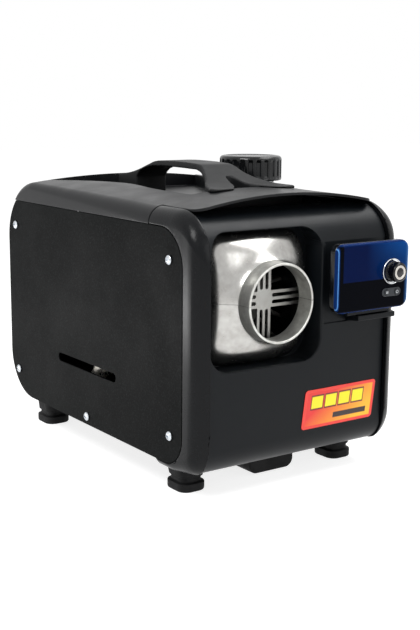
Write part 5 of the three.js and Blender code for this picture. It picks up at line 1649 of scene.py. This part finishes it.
@dataclass
class Core:
    """What shows through the outlet, the slots and the intake: the fan, the pipes and the burner's parts."""

    finishes: Finishes
    axis: Point2 = (-39.3, 184.0)
    fan_front: float = 287.0
    fan_width: float = 11.0
    hub: float = 17.0
    tip: float = 50.0
    blades: int = 7

    def make_fan(self, around: Repeater) -> None:
        """A fan with swept, twisted blades round a domed hub."""
        x, z = self.axis
        front, rear = self.fan_front, self.fan_front + self.fan_width
        rows = []
        for i in range(9):
            share = i / 8
            radius = self.hub - 1.5 + (self.tip - self.hub + 1.2) * share
            pitch = math.radians(52 - 22 * share)
            chord, lead = 13 + 5 * share, 0.22 * share
            row = []
            for j in range(9):
                c = (j / 8 - 0.5) * chord
                bow = 1.2 * (1 - (2 * j / 8 - 1) ** 2)
                across = c * math.cos(pitch) + bow * math.sin(pitch)
                row.append((across, c * math.sin(pitch) - bow * math.cos(pitch), lead, radius))
            rows.append(row)
        form = Form()
        for row in rows:
            for u, v, lead, radius in row:
                a = math.pi / 2 + lead + u / radius
                y = max(front + 0.3, min(rear - 0.3, (front + rear) / 2 + v))
                form.points.append((radius * math.cos(a), y, radius * math.sin(a)))
        for i in range(8):
            for j in range(8):
                form.faces.append((i * 9 + j, i * 9 + j + 1, (i + 1) * 9 + j + 1, (i + 1) * 9 + j))
        blade = form.piece("blade")
        wall = blade.modifiers.new("wall", "SOLIDIFY")
        wall.thickness = 1.4
        wall.offset = 0.0
        evaluated(blade)
        around.run(blade, Count=self.blades, Centre=(x, 0.0, z), Material=self.finishes.panel)
        hub = turned([
            (0, front + 0.3), (3.3, front + 0.3), (self.hub - 1.5, front + 0.3), (self.hub, front + 1.6),
            (self.hub, rear - 2.5), (self.hub - 0.8, rear - 1), (self.hub - 2.6, rear - 0.3), (4, rear - 0.2),
            (0, rear - 0.2),
        ], 48).facing_front(x, z).piece("hub")
        fan = merged("fan_moulding", [hub, blade])
        publish(fan, self.finishes.panel, "moulding_satin", "main_fan", body=Body.ROTOR)

    def make_rounds(self) -> None:
        """Smooth copies of the turned and bent pieces inside."""
        plans = (
            ("exhaust_pipe", "exhaust_tube", self.finishes.heated, "steel", 0.0),
            ("combustion_intake_pipe", "intake_tube", self.finishes.rubber, "rubber", 0.0),
            ("fuel_pump", "pump_barrel", self.finishes.steel, "steel", 0.4),
            ("fuel_filter", "filter_body", self.finishes.tank, "tank_white", 0.4),
            ("fuel_hose_tank", "hose_from_tank", self.finishes.rubber, "rubber", 0.0),
            ("fuel_hose_pump", "hose_to_pump", self.finishes.rubber, "rubber", 0.0),
            ("burner_fuel_line", "hose_to_burner", self.finishes.rubber, "rubber", 0.0),
            ("fuel_tank", "tank_moulding", self.finishes.tank, "tank_white", 0.0),
            ("heater_shell_upper", "core_cover_upper", self.finishes.panel, "moulding_satin", 0.5),
            ("heater_shell_lower", "core_cover_lower", self.finishes.panel, "moulding_satin", 0.5),
            ("base_tray", "tray_plate", self.finishes.powder, "powder_coat", 0.3),
            ("power_inlet", "power_socket_moulding", self.finishes.housing, "moulding_gloss", 0.4),
        )
        for node, name, material, slot, edge in plans:
            piece = copy_of(node, name)
            if edge:
                soften(piece, edge, 50)
            publish(piece, material, slot, node, crease=46)

    def dress_nodes(self) -> None:
        """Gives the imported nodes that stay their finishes."""
        plans = {
            "heat_exchanger": self.finishes.dull_cast, "burner_tube": self.finishes.heated,
            "glow_plug": self.finishes.steel, "motor": self.finishes.steel,
            "motor_shaft": self.finishes.steel, "combustion_impeller": self.finishes.dull_cast,
            "control_board": self.finishes.board, "core_bracket": self.finishes.powder,
            "pump_plunger": self.finishes.steel, "cap_seal": self.finishes.rubber,
        }
        for node, material in plans.items():
            coat(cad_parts[node], material)


# ------------------------------------------------------------------ studio


@dataclass
class Studio:
    """Pale floor, white surroundings, soft lamps and the photograph's camera."""

    azimuth: float = -35.3
    elevation: float = 11.0
    tilt: float = 0.5
    lens: float = 64.2
    spot: Point3 = (-0.6639, -0.9560, 0.3656)
    ambient: float = 0.45
    floor: float = 6.0
    brightening: float = 1.78
    glow_share: float = 0.45

    def make_camera(self) -> None:
        """Stands the camera where the photograph was taken from."""
        turn, rise, tilt = (math.radians(v) for v in (self.azimuth, self.elevation, self.tilt))
        back = Vector((math.sin(turn) * math.cos(rise), -math.cos(turn) * math.cos(rise), math.sin(rise)))
        right = (-back).cross(Vector((0, 0, 1))).normalized()
        up = right.cross(-back)
        across = right * math.cos(tilt) + up * math.sin(tilt)
        over = up * math.cos(tilt) - right * math.sin(tilt)
        data = bpy.data.cameras.new("photo_camera")
        data.sensor_fit = "VERTICAL"
        data.sensor_height = 36.0
        data.lens = self.lens
        camera = show(bpy.data.objects.new("photo_camera", data))
        placed = Matrix((across, over, back)).transposed().to_4x4()
        placed.translation = Vector(self.spot)
        camera.matrix_world = placed
        bpy.context.scene.camera = camera

    @staticmethod
    def seen(tree: Tree) -> Socket:
        """1 for what the camera sees straight, mirrored or through glass, and 0 for other light."""
        path = put(tree, "ShaderNodeLightPath").outputs
        whole = path["Is Camera Ray"]
        for ray in ("Is Glossy Ray", "Is Transmission Ray"):
            whole = put(tree, "ShaderNodeMath", {"operation": "MAXIMUM"}, s0=whole, s1=path[ray]).outputs[0]
        return whole

    def make_world(self) -> None:
        """White for the camera and for reflections, and an even soft grey light for the rest."""
        world = bpy.data.worlds.new("white_room")
        tree = blank(world)
        strength = put(tree, "ShaderNodeMapRange", Value=self.seen(tree), To_Min=self.ambient, To_Max=1.0)
        sky = put(tree, "ShaderNodeBackground", Color=(1.0, 1.0, 1.0, 1.0), Strength=strength.outputs[0])
        put(tree, "ShaderNodeOutputWorld", Surface=sky.outputs[0])
        bpy.context.scene.world = world

    def make_floor(self) -> None:
        """A white floor that keeps a soft shadow under the heater."""
        far = self.floor
        data = bpy.data.meshes.new("floor")
        data.from_pydata([(-far, -far, 0), (far, -far, 0), (far, far, 0), (-far, far, 0)], [], [(0, 1, 2, 3)])
        floor = show(bpy.data.objects.new("floor", data))
        material = bpy.data.materials.new("white_paper")
        tree = blank(material)
        paper = put(tree, "ShaderNodeBsdfDiffuse", Color=(0.9, 0.9, 0.9, 1.0))
        brightening = put(tree, "ShaderNodeEmission", Color=(1.0, 1.0, 1.0, 1.0), Strength=self.brightening)
        share = put(tree, "ShaderNodeMath", TIMES, s0=self.seen(tree), s1=self.glow_share)
        mix = put(tree, "ShaderNodeMixShader", s0=share.outputs[0], s1=paper.outputs[0], s2=brightening.outputs[0])
        put(tree, "ShaderNodeOutputMaterial", Surface=mix.outputs[0])
        data.materials.append(material)

    def lamp(self, name: str, spot: tuple[float, float, float], size: Point2, watts: float) -> None:
        """Hangs a soft rectangular lamp that faces the heater."""
        data = bpy.data.lights.new(name, "AREA")
        data.shape = "RECTANGLE"
        data.size, data.size_y = size
        data.energy = watts
        lamp = show(bpy.data.objects.new(name, data))
        aim = Vector((0.0, 0.0, 0.15)) - Vector(spot)
        lamp.rotation_euler = aim.to_track_quat("-Z", "Y").to_euler()
        lamp.location = spot

    def make(self) -> None:
        """Sets up the whole studio."""
        self.make_camera()
        self.make_world()
        self.make_floor()
        self.lamp("softbox_left", (-1.2, -0.6, 1.7), (0.9, 0.9), 30)
        self.lamp("softbox_top", (0.9, -0.4, 1.8), (1.5, 0.8), 24)
        self.lamp("softbox_front", (0.6, -2.1, 1.0), (1.5, 1.2), 10)
        self.lamp("strip_low", (-0.55, 0.3, 0.06), (0.5, 0.1), 1.2)
        bpy.context.scene.view_settings.view_transform = "Standard"


def main() -> None:
    """Builds the studio, then dresses the heater from the outside in."""
    logging.basicConfig(level=logging.INFO, format="%(name)s %(message)s")
    Studio().make()
    finishes = Finishes()
    around, places = round_repeater(), place_repeater()
    case = Case(finishes)
    case.make_rim()
    case.make_panel()
    case.make_cover()
    case.make_sides()
    case.make_rear()
    case.make_grille(around)
    case.make_screws(places)
    Handle(finishes).make(case)
    Feet(finishes).make()
    outlet = Outlet(finishes)
    outlet.make_hood()
    outlet.make_guard()
    FillerCap(finishes).make()
    controller = Controller(finishes)
    controller.make_housing()
    controller.make_knob(around)
    controller.make_buttons()
    controller.make_bracket()
    controller.make_label()
    core = Core(finishes)
    core.make_fan(around)
    core.make_rounds()
    core.dress_nodes()


if __name__ == "__main__":
    main()
